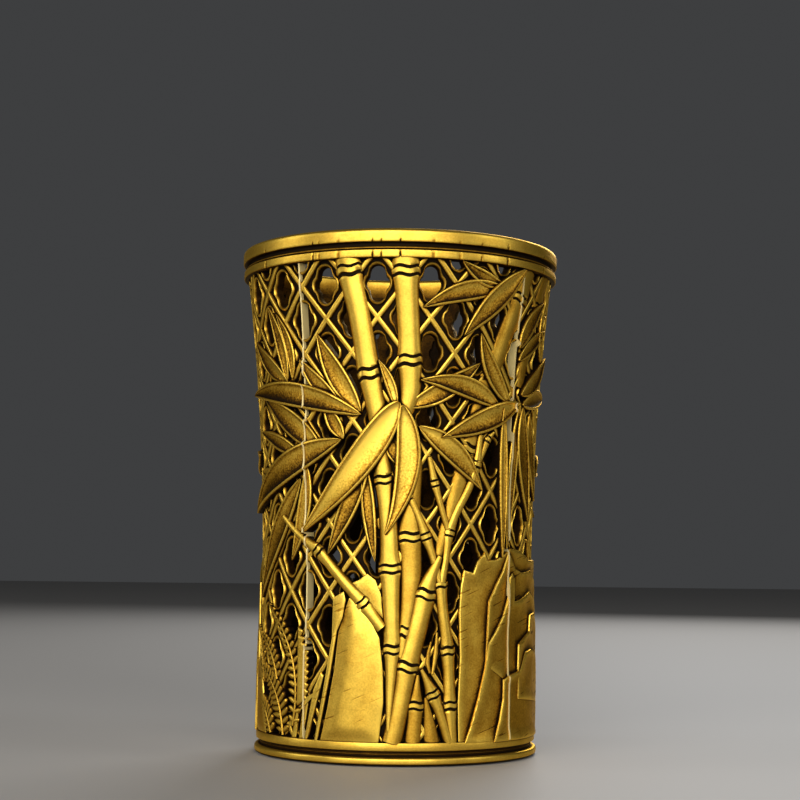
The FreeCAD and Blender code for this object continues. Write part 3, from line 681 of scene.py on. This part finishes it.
# base, tip, width, bow, stand over the ground, wear of the hollow, and how blunt the base is
LEAVES = [
    # the left fan, at the middle knot
    ((0.1, 80.9), (-23.9, 51.3), 6.9, 1.6, 2.584, 0.95, 0.5),
    ((-13, 72.6), (-48.5, 56.5), 6.6, -1.4, 2.224, 0.53),
    ((-18, 70), (-38.4, 83.2), 5.6, -0.6, 1.636, 0.63),
    ((-8.4, 78.2), (-47, 84.6), 5.6, -2.2, 2.044, 0.53),
    ((-28, 86), (-43.5, 97.2), 4.2, 0.6, 1.396, 0.66),
    ((-28.4, 86.5), (-34.4, 104.5), 3.4, -0.8, 1.384, 0.61),
    ((-26.6, 87), (-31.5, 102.5), 2.6, -1.4, 1.3, 0.61),
    ((-8.6, 78.9), (-18.9, 96.8), 4.9, 0.9, 1.444, 0.69),
    ((-13.4, 80.5), (-24.2, 91.4), 3.8, 0.7, 1.348, 0.66),
    ((-12.8, 72.8), (-17.6, 81.2), 3.6, 0.3, 1.348, 0.61),
    ((-0.5, 79.8), (-4.4, 90.4), 2.2, -0.5, 1.744, 0.81),
    ((-22.4, 66.5), (-27.7, 45.3), 4, 1, 1.612, 0.71),
    ((-24, 69), (-42.5, 75.6), 3.6, -0.5, 1.492, 0.56),
    ((-24.5, 64), (-44, 36.5), 5.8, -0.4, 1.588, 0.51),
    ((-6.8, 68.9), (-16.6, 46.8), 4.4, 0.3, 1.804, 0.56),
    ((-7.6, 67), (-5.1, 45.2), 3.2, -0.3, 1.612, 0.56),
    ((-2.2, 74), (-0.2, 67), 3.4, -0.2, 1.324, 0.61),
    ((-46, 70.5), (-60, 66), 4.5, -0.6, 1.564, 0.56),
    ((-44, 66.4), (-34, 66), 2.4, -0.4, 1.264, 0.61),
    # the middle fan
    ((0.9, 80.2), (-2.8, 51.2), 5.5, 3, 2.548, 0.87, 0.55),
    ((4.6, 75.6), (20.6, 61.6), 5.2, 1.3, 1.9, 0.77),
    ((1.8, 79.8), (19, 90.6), 4.6, -1, 1.372, 0.59),
    ((24.8, 80.6), (4.7, 86), 4.8, -1.7, 1.924, 0.67),
    # the right fan, at the upper knot
    ((31.6, 82.2), (9.8, 73.2), 5.4, 0.1, 2.188, 0.73),
    ((24.6, 107.8), (5, 102.3), 4.6, -1.5, 1.612, 0.63),
    ((29.8, 113), (14.2, 96.4), 5, -0.4, 2.116, 0.69),
    ((24, 108.4), (13.2, 113.2), 3.4, 0.9, 1.54, 0.51),
    ((28.4, 81.4), (18.5, 97.2), 4.2, 1.4, 1.828, 0.66),
    ((26.2, 80.8), (27.6, 46.4), 2.8, 0.5, 1.9, 0.77),
    ((32.6, 82.5), (29.6, 48.5), 3.4, -0.2, 1.564, 0.61),
    ((33.4, 81.4), (39.6, 55), 5.4, -0.6, 1.852, 0.53),
    ((37.5, 80), (45.5, 60), 4.4, -0.8, 1.624, 0.53),
    ((30.6, 95), (40.5, 106.8), 4.2, 0.8, 1.684, 0.61),
    ((31, 92.2), (44.5, 100.6), 3.6, 0.6, 1.444, 0.61),
    ((32.4, 84.2), (46.5, 94.4), 4.6, -1, 1.876, 0.71),
    ((33.6, 82), (50, 84.5), 4.6, 0.8, 1.684, 0.61),
    ((44, 92), (40.5, 104), 2.8, 0.5, 1.468, 0.66),
]


leaf_brass = aged_brass("leaf_brass", stipple=0.85, brushing=0.0)
leaves = bmesh.new()
for leaf in LEAVES:
    raised_sheet(leaves, 24, 12, leaf_shape(*leaf))
bmesh.ops.recalc_face_normals(leaves, faces=leaves.faces)
panels_of(leaves, "leaves", leaf_brass, sharp=60)

# ---------------------------------------------------------------- bamboo canes
# Round canes rise from the foot behind and in front of each other. Every joint of a cane is a
# raised collar between two fine wavy grooves, and the cane swells a little into it.
CANE_SIDE = math.radians(84)  # how far round its top a cane's section goes before it drops
CANE_DROP = 0.36  # how far its sides lie below its crown, as a share of its width
SWELL_REACH = 3.2  # how far from a joint it starts to swell
SHADED_SIDE = 0.16  # the wear of its sides, with painted shade where the round cane turns away from the light
WAVY_WIDTH = 2.2  # thinner canes have straight grooves


def joint_size(width):
    """Half the height of a joint's collar, and half the width of its grooves, on such a cane."""
    return 0.52 + 0.082 * width, 0.10 + 0.024 * width


def cane_rows(length, joints, width):
    """Where a cane's cross sections stand: even steps, and close ones round its joints."""
    collar, groove = joint_size(width)
    steps = max(2, round(length / 2.2))
    rows = {length * i / steps for i in range(steps + 1)}
    rows = {row for row in rows if all(abs(row - joint) > collar + 0.9 for joint in joints)}
    offsets = [collar + 0.8, *(collar + i * groove for i in (2, 1, -1, -2))]
    for joint in joints:
        rows |= {joint + side * offset for side in (-1, 1) for offset in offsets}
    return sorted(row for row in rows | {0.0, length} if 0 <= row <= length)


def cane_shape(knots, joints, stand, shade, rows, typical):
    """Gives place() for a cane through knots of (along, z, width), with joints at these distances.
    typical is its mean width, and shade the wear of its crown."""
    collar, groove = joint_size(typical)
    joint_swell = min(0.50, 0.02 + 3.2 / typical**2)
    points = [Vector((x, z)) for x, z, _ in knots]
    widths = [width for _, _, width in knots]
    spans = [(b - a).length for a, b in zip(points, points[1:])]
    starts = [sum(spans[:i]) for i in range(len(spans) + 1)]

    def at(distance):
        """The point on a smooth curve through the knots, and the width there."""
        i = max(k for k in range(len(spans)) if starts[k] <= distance or k == 0)
        share = min(max((distance - starts[i]) / spans[i], 0), 1)
        a, b = points[i], points[i + 1]
        before = points[i - 1] if i else a * 2 - b
        after = points[i + 2] if i + 2 < len(points) else b * 2 - a
        curve = 0.5 * ((2 * a) + (b - before) * share
                       + (2 * before - 5 * a + 4 * b - after) * share**2
                       + (3 * a - before - 3 * b + after) * share**3)
        return curve, widths[i] + (widths[i + 1] - widths[i]) * share

    def place(s, t, level):
        distance = rows[round(s * (len(rows) - 1))]
        near = min((abs(distance - joint) for joint in joints), default=9.0)
        centre, width = at(distance)
        further = at(min(distance + 0.4, rows[-1]))[0] - at(max(distance - 0.4, 0))[0]
        ahead = further.normalized()
        aside = left_of(ahead)
        swell = 1 + joint_swell * max(0, 1 - near / SWELL_REACH) ** 1.3
        bend = CANE_SIDE * t
        out = width / 2 * swell * math.sin(bend) / math.sin(CANE_SIDE)
        rise = math.cos(bend)
        at_joint = near < collar + 3 * groove
        wavy = at_joint and width > WAVY_WIDTH
        wave = 0.05 * typical * math.sin(2.2 * math.pi * t + 0.6) if wavy else 0
        # the crown is rubbed bright, and patina and painted shade darken the sides as the cane
        # rounds off
        lift, worn_and_shaded = 0.0, SHADED_SIDE + (shade - SHADED_SIDE) * rise**0.6
        if abs(near - collar) < groove * 1.2:
            lift, worn_and_shaded = -0.05 - groove * 1.5, 0.0
        elif near < collar:
            lift, worn_and_shaded = 0.10, min(1, worn_and_shaded + 0.15)
        elif at_joint:
            worn_and_shaded = min(1, worn_and_shaded + 0.1)
        crown = min(width * CANE_DROP, stand - 0.3)
        top = stand - crown * (1 - rise) + lift * rise
        x, z = centre + aside * out + ahead * wave
        if level < 2:
            # the foot is a hair wider than the top
            x, z = centre + aside * (out * (1.02 - 0.01 * level))
            top, worn_and_shaded = max(stand - crown - 0.25, BURIED + 0.1), 0.0
        return x, z, (BURIED if level == 0 else top), worn_and_shaded

    return place


# knots (along, z, width), how far the joints are from the first knot, stand, wear of the crown
CANES = [
    ([(-11.2, 113.6, 5.8), (-10.6, 109, 5.3), (-8.7, 100, 5), (-7, 89, 5.2), (-5.2, 80, 4.8),
      (-4, 75, 4.4)], [3.1, 26.4], 1.7, 0.95),
    ([(1.2, 113.6, 5.9), (1.4, 107, 5.3), (1.9, 100, 5.1), (2.4, 90.5, 5.3), (2.6, 83, 5),
      (1.4, 78.5, 3.4)], [3.1, 23.1], 1.7, 0.95),
    ([(-4.4, 72, 4), (-3.4, 64, 4.2), (-2.2, 54, 4.4), (-1.6, 43.6, 4.8), (-1.2, 34, 4.2),
      (-0.9, 25.6, 4), (-1.3, 15, 2), (-1.6, 8, 0.9)], [8.6, 28.5, 46.5], 1.6, 0.95),
    ([(3.6, 68, 4.6), (3.2, 58, 4.6), (3.1, 50.7, 5.4), (3.4, 41, 5), (2.1, 30.2, 3),
      (1.2, 24, 1.8)], [17.3, 38.2], 1.3, 0.8),
    ([(10, 46.5, 1.2), (7.9, 41.5, 3.6), (6.8, 37.8, 5), (4.6, 29, 4.9), (2.7, 21.9, 5),
      (0.8, 12, 4.6), (-0.8, 5.2, 4.8)], [9.3, 25.8], 1.86, 0.88),
    ([(32.4, 113.4, 5.6), (30.2, 106.3, 5.2), (27, 99, 4.8), (22.4, 87.6, 5), (19.5, 79, 4.4),
      (17.3, 70.9, 4.6), (14.2, 60, 4.4), (10.4, 48, 3), (9, 44, 2)], [7.4, 27.8, 45.3], 1.12, 0.8),
    ([(-31, 55.3, 1.4), (-26, 51.6, 1.8), (-19.4, 47.3, 2.3), (-14, 42, 2.6), (-8, 35.9, 3.1),
      (-3.4, 30.4, 2.9)], [13.8, 30.3], 1.66, 0.95),
    ([(13.6, 5.2, 3), (13.1, 13.4, 3.1), (12.4, 25.4, 3), (11, 35, 2.8), (10.4, 40.7, 2.9)],
      [8.3, 20.3, 35.4], 1.55, 0.9),
    ([(10.4, 40.2, 2.2), (8.6, 46, 1.9), (6.7, 51, 2), (4.8, 55.6, 1.7), (2.6, 60, 1.6),
      (1.7, 61.6, 1)], [11.4, 21], 1.56, 0.9),
    ([(10.6, 40.6, 2), (11.6, 46, 1.7), (12.4, 51.7, 1.9), (14.2, 56.6, 2), (17.4, 62.2, 2.1),
      (19.3, 67.4, 1.9), (20, 74.2, 1.5)], [11.4, 28.6], 1.58, 0.95),
    ([(12.3, 52, 1.6), (10.5, 57, 1.5), (8.6, 63.1, 1.5), (7.2, 68.8, 1.2)], [11.5], 1.45, 0.9),
    ([(19.3, 67.2, 1.5), (21, 70.4, 1.4), (22.2, 73.2, 1.4), (23.8, 75, 0.7)], [6.7], 1.44, 0.9),
    ([(5.9, 21.4, 0.8), (8.7, 15.9, 2.7), (10.6, 11.5, 2.4), (12.8, 5.2, 2.3)], [6.2], 1.64, 0.88),
    ([(4.1, 5.2, 4.1), (4.7, 13.4, 3.4), (5.1, 20.2, 0.7)], [8.2], 1.36, 0.76),
    ([(8.7, 5.2, 4.2), (8, 10, 3), (7, 15.2, 0.8)], [], 1.22, 0.68),
    ([(9.6, 29.6, 0.5), (9.4, 25, 1.3), (8.6, 20.4, 0.7)], [], 1.18, 0.8),
    ([(8.2, 27.5, 0.4), (7.4, 23.5, 1.4), (8, 20.6, 0.7)], [], 1.1, 0.7),
    ([(42, 113.4, 4.6), (38, 104, 4.4), (34.8, 96, 4), (33, 86, 3.6)], [9], 1.02, 0.7),
]


cane_brass = aged_brass("cane_brass", stipple=0.30, brushing=0.25)
canes = bmesh.new()
for knots, joints, stand, shade in CANES:
    total = sum(math.dist(a[:2], b[:2]) for a, b in zip(knots, knots[1:]))
    typical = sum(width for _, _, width in knots) / len(knots)
    rows = cane_rows(total, joints, typical)
    cane = cane_shape(knots, joints, stand, shade, rows, typical)
    raised_sheet(canes, len(rows) - 1, 12, cane)
bmesh.ops.recalc_face_normals(canes, faces=canes.faces)
panels_of(canes, "canes", cane_brass, sharp=50)

# ---------------------------------------------------------------- rocks
# Slabs of rock stand at the foot: a smooth tapering stone at the left, and at the right a cliff of
# layers whose split edges are bright steps. They are flat castings with chamfered, rubbed edges.
# Each row has corners (along, z), stand over the ground, wear, and how far the face swells.
ROCKS = [
    # the tapering stone and what leans on it
    ([(-18.4, 4.8), (-16.6, 12), (-14.8, 21), (-13.9, 29), (-12.4, 34), (-11.2, 37.2), (-8.6, 35.6),
      (-5.6, 31.6), (-3.8, 28.2), (-2.9, 21), (-2.7, 14), (-3.8, 4.8)], 1.3, 0.87, 0.55),
    ([(-10.8, 40.4), (-8.9, 41.2), (-7, 42.6), (-5, 41.2), (-3.6, 38), (-3, 32.4), (-7.4, 36.6)],
      1.05, 0.75, 0.3),
    ([(-19.8, 4.8), (-17.6, 16), (-15.4, 28), (-15.2, 37), (-12.4, 38.6), (-11.9, 36.6),
      (-12.6, 32.6), (-14, 29.6), (-15.6, 20), (-18.9, 4.8)], 1.6, 0.75, 0),
    ([(-22, 4.8), (-19.8, 12), (-17.4, 19.6), (-18.4, 20.4), (-20.4, 16.4), (-22.9, 4.8)],
      1.35, 0.73, 0),
    ([(-24.8, 4.8), (-23.6, 13), (-21.6, 14.6), (-22.4, 10), (-23.4, 4.8)], 1.2, 0.68, 0),
    ([(-27.4, 4.8), (-25.8, 11.6), (-24.9, 12.2), (-25.6, 4.8)], 1.15, 0.68, 0),
    # the layered cliff, from its lowest layer up
    ([(15, 4.8), (14.8, 14), (15.3, 24), (15, 34), (15.4, 40), (16.2, 43.6), (18.8, 43), (20, 45.6),
      (22.2, 47.6), (23.2, 45.8), (26, 46), (29.6, 47.6), (31, 48.6), (36, 48.2), (42, 46),
      (50, 46), (57, 40), (58, 4.8)], 1.36, 0.75, -0.4),
    ([(22.4, 22), (23.4, 36.6), (25.8, 40.4), (28.2, 43.6), (29.8, 47.3), (31.2, 47), (33.4, 44),
      (37, 43), (43, 43.6), (50, 41), (56, 30), (56.4, 18), (30, 18)], 1.5, 0.71, -0.4),
    ([(16.4, 4.8), (18, 8.4), (20.2, 14.8), (22.2, 21.6), (23.2, 27.2), (25.4, 29.6), (28.2, 33.4),
      (30, 37.2), (30.6, 42), (31.8, 43), (33, 41.6), (32.9, 36.4), (35.6, 36.8), (41.6, 38.6),
      (48, 36.5), (55.5, 26), (56.4, 4.8)], 1.66, 0.69, -0.42),
    ([(34.2, 14), (34.2, 21), (34.6, 26.6), (37.5, 28), (41, 29.4), (41.8, 33.2), (46, 33.6),
      (51, 30), (54.5, 20), (55, 12)], 1.86, 0.66, -0.42),
    ([(24.9, 4.8), (26.8, 9.8), (27.9, 14.2), (28.1, 18.8), (30.8, 19.8), (35, 20.6), (38, 24.6),
      (42.2, 25.2), (48, 24), (53, 16), (54.5, 4.8)], 1.98, 0.66, -0.42),
    ([(-50, 4.8), (-50.6, 20), (-47, 24), (-43, 16), (-39, 4.8)], 1.2, 0.63, 0.2),
]
CHAMFER = 0.36
EDGE_SHINE = 0.85  # how far in from its edge a face is rubbed brighter
FOOT_SHADE, FOOT_REACH = 0.75, 0.6  # the patina and painted shade that a higher step leaves on the face below it, and how far it reaches
ROUGH_STEP = 0.8  # distance between the points that make a stone's face uneven


def to_edge(x, z, corners):
    """How far a point is from the nearest side of an outline."""
    nearest = 1e9
    for (ax, az), (bx, bz) in zip(corners, corners[1:] + corners[:1]):
        side = Vector((bx - ax, bz - az))
        share = min(max(Vector((x - ax, z - az)).dot(side) / side.length_squared, 0), 1)
        nearest = min(nearest, math.dist((x, z), (ax + side.x * share, az + side.y * share)))
    return nearest


def slice_up(bm, low, high, way):
    """Cuts a flat drawing into even strips across one way, so that it can bend and roughen."""
    for i in range(1, math.ceil((high - low) / ROUGH_STEP)):
        everything = bm.verts[:] + bm.edges[:] + bm.faces[:]
        point = Vector(way) * (low + i * ROUGH_STEP)
        bmesh.ops.bisect_plane(bm, geom=everything, plane_co=point, plane_no=way)


def raised_slab(bm, corners, stand, shade, crown, seed, higher=()):
    """A flat casting: an outline pulled up out of the wall, its top edge chamfered and bright, its
    face crowned and uneven. Patina and painted shade keep to the foot of the higher slabs that lie
    on it."""
    slab = bmesh.new()
    wear = wear_and_shade_layer(slab)
    face = slab.faces.new([slab.verts.new((x, -BURIED, z)) for x, z in corners])
    for height in (stand - CHAMFER - 0.12, stand):
        pulled = bmesh.ops.extrude_face_region(slab, geom=[face, *face.edges])["geom"]
        face = only(bmesh.types.BMFace, pulled)[0]
        for vert in face.verts:
            vert.co.y = -height
    bmesh.ops.recalc_face_normals(slab, faces=slab.faces)
    bmesh.ops.bevel(slab, geom=list(face.edges), offset=CHAMFER, segments=2, profile=0.5,
                    affect="EDGES", material=-1)
    for values, way in zip(zip(*corners), ((1, 0, 0), (0, 0, 1))):
        slice_up(slab, min(values), max(values), way)
    bmesh.ops.remove_doubles(slab, verts=slab.verts, dist=0.01)
    for vert in slab.verts:
        x, depth, z = vert.co
        if -depth > stand - 0.01:
            inside = to_edge(x, z, corners) - CHAMFER
            beside = min((to_edge(x, z, other) for other in higher), default=9.0)
            broad = rough(Vector((x * 0.20, z * 0.09, seed)))
            fine = rough(Vector((x * 0.9, z * 0.5, seed + 40)))
            rubbed = (1 - shade) * math.exp(-inside / EDGE_SHINE)
            # painted shade, with patina, along the foot of each higher slab that lies on this one
            shaded = FOOT_SHADE * math.exp(-beside / FOOT_REACH)
            vert[wear] = shade + rubbed + 0.10 * broad - shaded
            settled = min(1, max(0, inside) / 1.5)
            vert.co.y -= settled * (crown * min(1, inside / 3) + 0.14 * broad + 0.06 * fine)
        else:
            vert[wear] = 1.0 if -depth > stand - CHAMFER - 0.02 else 0.0
    bmesh.ops.triangulate(slab, faces=[face for face in slab.faces if len(face.verts) > 4])
    part = mesh_of(slab, "slab")
    bm.from_mesh(part)
    bpy.data.meshes.remove(part)


rock_brass = aged_brass("rock_brass", stipple=0.36, brushing=0.15, scratches=0.6)
rocks = bmesh.new()
for number, (corners, stand, shade, crown) in enumerate(ROCKS):
    higher = [other[0] for other in ROCKS[number + 1:] if other[1] > stand]
    raised_slab(rocks, corners, stand, shade, crown, number, higher)
panels_of(rocks, "rocks", rock_brass, sharp=25)

# ---------------------------------------------------------------- ferns
# Fern fronds fill the left of the foot: a thin ridge with pairs of short leaflets, smaller towards
# its tip. They were chased finely, so most of their patina is still there between leaflets.
# Each row has foot, tip, how far it bows to its left, its longest leaflet, and its pairs.
FERNS = [
    ((-26.9, 8), (-38.8, 35.4), -5.6, 3, 17),
    ((-30.6, 5.6), (-46, 21.5), -4.2, 3.8, 15),
    ((-36.5, 5.6), (-48, 13.5), -2.2, 3.4, 11),
    ((-33.6, 18), (-43, 28), -1.8, 2.8, 9),
    ((-42, 17.5), (-48.5, 30), -1.6, 3, 10),
]
# the one broad frond: where its spine runs, how far its toothed side reaches, and its teeth
BLADE_SPINE = -25.5
BLADE_FOOT, BLADE_TOP = 12.4, 30.4
BLADE_REACH, BLADE_NOTCH = 3.6, 0.75
BLADE_TEETH = 11


def broad_frond():
    """The outline of the broad frond: straight along its spine, toothed on the other side."""
    corners = [(BLADE_SPINE, BLADE_TOP)]
    pitch = (BLADE_TOP - BLADE_FOOT - 1.5) / BLADE_TEETH
    for tooth in range(BLADE_TEETH):
        z = BLADE_TOP - 1.0 - tooth * pitch
        tip = BLADE_SPINE + BLADE_REACH * (0.30 + 0.70 * min(1, (tooth + 1) / 4))
        corners += [(tip, z), (tip - BLADE_NOTCH, z - pitch * 0.75)]
    stem = (BLADE_SPINE + BLADE_REACH + 1.2, BLADE_FOOT + 2.6)
    return [*corners, stem, (BLADE_SPINE, BLADE_FOOT)]


def frond_curve(foot, tip, bow):
    """Gives the point and the heading at a share of the way up a bowed frond."""
    spine = tip - foot
    aside = left_of(spine).normalized()

    def at(share):
        heading = spine + aside * (bow * 4 * (1 - 2 * share))
        return foot + spine * share + aside * (bow * 4 * share * (1 - share)), heading.normalized()

    return at


def fern_rib(curve):
    """Gives place() for a frond's ridge, which narrows to its tip."""
    def place(s, t, level):
        centre, ahead = curve(s)
        x, z = centre + left_of(ahead) * (0.40 * (1 - 0.6 * s) * t)
        return x, z, (BURIED, 0.5, 1.38 - 0.3 * t * t)[level], (0, 0, 0.95 - 0.5 * t * t)[level]

    return place


def leaflet(root, end, half, stand):
    """Gives place() for a leaflet from the ridge to its pointed end."""
    ahead = end - root
    aside = left_of(ahead).normalized()

    def place(s, t, level):
        width = half * math.sin(math.pi * (0.12 + 0.88 * s)) ** 0.6 if s < 1 else 0
        x, z = root + ahead * s + aside * (width * t)
        top = stand - (0.35 * t * t if s < 1 else 0)
        return x, z, (BURIED, 0.3, top)[level], (0, 0, 1.0 - 0.5 * abs(t))[level]

    return place


fern_brass = aged_brass("fern_brass", stipple=0.4, brushing=0.0)
ferns = bmesh.new()
raised_slab(ferns, broad_frond(), stand=1.35, shade=0.72, crown=0.1, seed=90)
for foot, tip, bow, longest, pairs in FERNS:
    curve = frond_curve(Vector(foot), Vector(tip), bow)
    raised_sheet(ferns, 16, 4, fern_rib(curve))
    for pair in range(pairs):
        share = (pair + 0.5) / pairs
        reach = longest * (1 - share) ** 0.55 * min(1, 0.6 + share * 2)
        root, ahead = curve(share)
        aside = left_of(ahead)
        for side in (-1, 1):
            end = root + aside * (side * reach) + ahead * (reach * 0.38)
            blade = leaflet(root, end, 0.64 + 0.05 * reach, 1.25 + 0.02 * (pair % 3))
            raised_sheet(ferns, 5, 4, blade)
bmesh.ops.recalc_face_normals(ferns, faces=ferns.faces)
panels_of(ferns, "ferns", fern_brass, sharp=60)

# ---------------------------------------------------------------- seams
# The panels were soldered edge to edge, and the solder stands up as a fine bright line that runs
# over the lattice and the relief alike, from the foot band to the rim band.
seam_brass = aged_brass("seam_brass", stipple=0.2, brushing=0.0)
seam_shader = seam_brass.node_tree.nodes["Principled BSDF"].inputs
for socket, value in (("Base Color", (0.95, 0.76, 0.33, 1)), ("Metallic", 0.4)):
    seam_brass.node_tree.links.remove(seam_shader[socket].links[0])
    seam_shader[socket].default_value = value
SEAM_HALF = 0.19
SEAM_STAND = 0.20
SEAM_STEP = 0.5
SEAM_PROBE = 0.006  # the line clears the wall this far to either side of it, in radians
LOWEST_SEAM = 0.55  # how far it stands over the ground where it crosses an opening
SOLDER_SHINE = 1.5  # past 1, so that the thin line stays bright between the dark recesses
PROBE_START = 60.0  # a radius well outside the cup


def surface_radius(tree, angle, z):
    """How far out the finished wall stands at an angle and height, or 0 over an opening."""
    way = Vector((math.sin(angle), -math.cos(angle), 0))
    start = way * (PROBE_START * MM) + Vector((0, 0, z * MM))
    hit, _, _, distance = tree.ray_cast(start, -way, 31 * MM)
    return 0 if hit is None else PROBE_START - distance / MM


def wall_tree():
    """The finished wall as a tree for casting rays at."""
    bm = bmesh.new()
    for obj in bpy.context.scene.objects:
        if obj.name.split("_")[0] in ("lattice", "leaves", "canes", "rocks", "ferns"):
            bm.from_mesh(obj.data)
    tree = BVHTree.FromBMesh(bm)
    bm.free()
    return tree


def seam_lines():
    """Four solder lines, each a thin ribbon pulled along the top of whatever the seam crosses."""
    tree = wall_tree()
    bm = bmesh.new()
    wear = wear_and_shade_layer(bm)
    low, high = FOOT_TOP + 0.3, BAND_FOOT + 0.4
    for number in range(4):
        angle = math.radians(SEAMS[0] + 90 * number)
        along = Vector((math.cos(angle), math.sin(angle), 0))
        out = Vector((math.sin(angle), -math.cos(angle), 0))
        before = len(bm.verts)
        corners = bmesh.ops.create_cube(bm, size=2)["verts"]
        edges = dict.fromkeys(edge for vert in corners for edge in vert.link_edges)
        upright = [edge for edge in edges if edge.verts[0].co.z != edge.verts[1].co.z]
        bmesh.ops.subdivide_edges(bm, edges=upright, cuts=int((high - low) / SEAM_STEP),
                                  use_grid_fill=True)
        bm.verts.ensure_lookup_table()
        for vert in bm.verts[before:]:
            side, outer, up = vert.co
            z = low + (high - low) * (up + 1) / 2
            ground = GROUND_RADIUS + flare(z)
            radius = ground - WALL + 0.2
            if outer > 0:
                beside = (angle - SEAM_PROBE, angle + SEAM_PROBE)
                wall = [surface_radius(tree, place, z) for place in beside]
                radius = max(ground + LOWEST_SEAM, *wall) + SEAM_STAND
            vert.co = out * radius - along * (SEAM_HALF * side) + Vector((0, 0, z))
            vert[wear] = SOLDER_SHINE if outer > 0 else 0.1
    return bm


seam_piece = finish_piece(seam_lines(), "solder_seams", seam_brass, sharp=60)
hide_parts("seam_solder")

# ---------------------------------------------------------------- floor, its screws and the pad
# The cup's floor is a turned brass disc, never polished, so it is dull and dark. Four countersunk
# steel screws hold it from below, and a ribbed rubber disc under it keeps the cup from sliding.
floor_plate = frame["nodes"]["floor_plate"]
dull_brass = aged_brass("floor_dull_brass", stipple=0.3, brushing=0.3)
dull_tree = dull_brass.node_tree
dull_group = next(node for node in dull_tree.nodes if node.type == "GROUP")
link(dull_tree, noise(dull_tree, object_place(dull_tree), 90, 2), dull_group.inputs["Wear"])
floor_plate.data.materials.clear()
floor_plate.data.materials.append(dull_brass)

screw_steel, steel_tree, steel = new_material("screw_steel")
steel["Metallic"].default_value = 1.0
steel["Base Color"].default_value = (0.55, 0.54, 0.52, 1)
steel_grain = noise(steel_tree, object_place(steel_tree), 3000, 2)
link(steel_tree, map_range(steel_tree, steel_grain, 0, 1, 0.28, 0.5), steel["Roughness"])
floor_screws = frame["nodes"]["floor_screws"]
floor_screws.data.materials.clear()
floor_screws.data.materials.append(screw_steel)

PAD_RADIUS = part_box("base_pad")[1].x / MM
PAD_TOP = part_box("base_pad")[1].z / MM
PAD_GROOVES = 9
pad_profile = [(0.5, 0.15, 0.5)]
for groove in range(PAD_GROOVES):
    middle = 5 + groove * (PAD_RADIUS - 7) / (PAD_GROOVES - 1)
    for offset, height, worn_and_shaded in ((-0.5, 0, 0.5), (-0.2, 0.3, 0.2), (0.2, 0.3, 0.2), (0.5, 0, 0.5)):
        pad_profile.append((middle + offset, height, worn_and_shaded))
pad_profile += [(PAD_RADIUS - 0.3, 0, 0.5), (PAD_RADIUS, 0.3, 0.5), (PAD_RADIUS, PAD_TOP, 0.5),
                (0.5, PAD_TOP, 0.5)]
pad_rubber, rubber_tree, rubber = new_material("pad_rubber")
rubber_ramp = rubber_tree.nodes.new("ShaderNodeValToRGB")
rubber_ramp.color_ramp.elements[0].color = (0.018, 0.018, 0.019, 1)
rubber_ramp.color_ramp.elements[1].color = (0.05, 0.05, 0.052, 1)
rubber_grain = noise(rubber_tree, object_place(rubber_tree), 1600, 3)
link(rubber_tree, rubber_grain, rubber_ramp.inputs["Fac"])
link(rubber_tree, rubber_ramp.outputs["Color"], rubber["Base Color"])
rubber["Roughness"].default_value = 0.75
pad_piece = finish_piece(turned_ring(pad_profile), "pad_disc", pad_rubber)
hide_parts("base_pad")

# ---------------------------------------------------------------- stage: floor, lights and camera
# A plain pale floor, soft lamps in front, beside and behind, and the camera, which stands low in
# front of the cup and looks a little up at it.
bpy.ops.mesh.primitive_plane_add(size=6, location=(0, 0, 0))
stage_floor = bpy.context.object
stage_floor.name = "stage_floor"
pale, _, pale_shader = new_material("pale_floor")
pale_shader["Base Color"].default_value = (0.42, 0.405, 0.385, 1)
pale_shader["Roughness"].default_value = 0.6
stage_floor.data.materials.append(pale)


def softbox(name, place, size, power, colour=(1, 1, 1)):
    """A soft lamp that looks at the cup."""
    lamp = bpy.data.lights.new(name, "AREA")
    lamp.shape = "RECTANGLE"
    lamp.size, lamp.size_y = size
    lamp.energy = power
    lamp.color = colour
    holder = bpy.data.objects.new(name, lamp)
    holder.location = place
    aim = Vector((0, 0, 0.06)) - Vector(place)
    holder.rotation_mode = "QUATERNION"
    holder.rotation_quaternion = aim.to_track_quat("-Z", "Y")
    bpy.context.scene.collection.objects.link(holder)


softbox("key_light", (-0.12, -0.85, 0.34), (1.40, 0.60), 9.6, (1.0, 0.97, 0.92))
softbox("fill_light", (0.85, -0.35, 0.40), (0.30, 0.60), 1.3)
softbox("side_light", (-0.85, -0.10, 0.35), (0.30, 0.60), 1.3)
softbox("back_light", (0.3, 0.85, 0.55), (0.5, 0.5), 4)
world = bpy.data.worlds.new("studio")
world.use_nodes = True
surround = world.node_tree.nodes["Background"].inputs
surround["Color"].default_value = (0.80, 0.82, 0.85, 1)
surround["Strength"].default_value = 0.06
bpy.context.scene.world = world
bpy.context.scene.view_settings.view_transform = "Standard"

camera = bpy.data.cameras.new("camera")
camera.lens = 77.5
camera.sensor_width = 36
camera_holder = bpy.data.objects.new("camera", camera)
turn, tilt, roll = (math.radians(angle) for angle in (-0.043, 90 + 5.375, 0.626))
look = Matrix.Rotation(turn, 4, "Z") @ Matrix.Rotation(tilt, 4, "X") @ Matrix.Rotation(roll, 4, "Z")
camera_holder.matrix_world = Matrix.Translation((0, -0.4197, 0.0452)) @ look
bpy.context.scene.collection.objects.link(camera_holder)
bpy.context.scene.camera = camera_holder
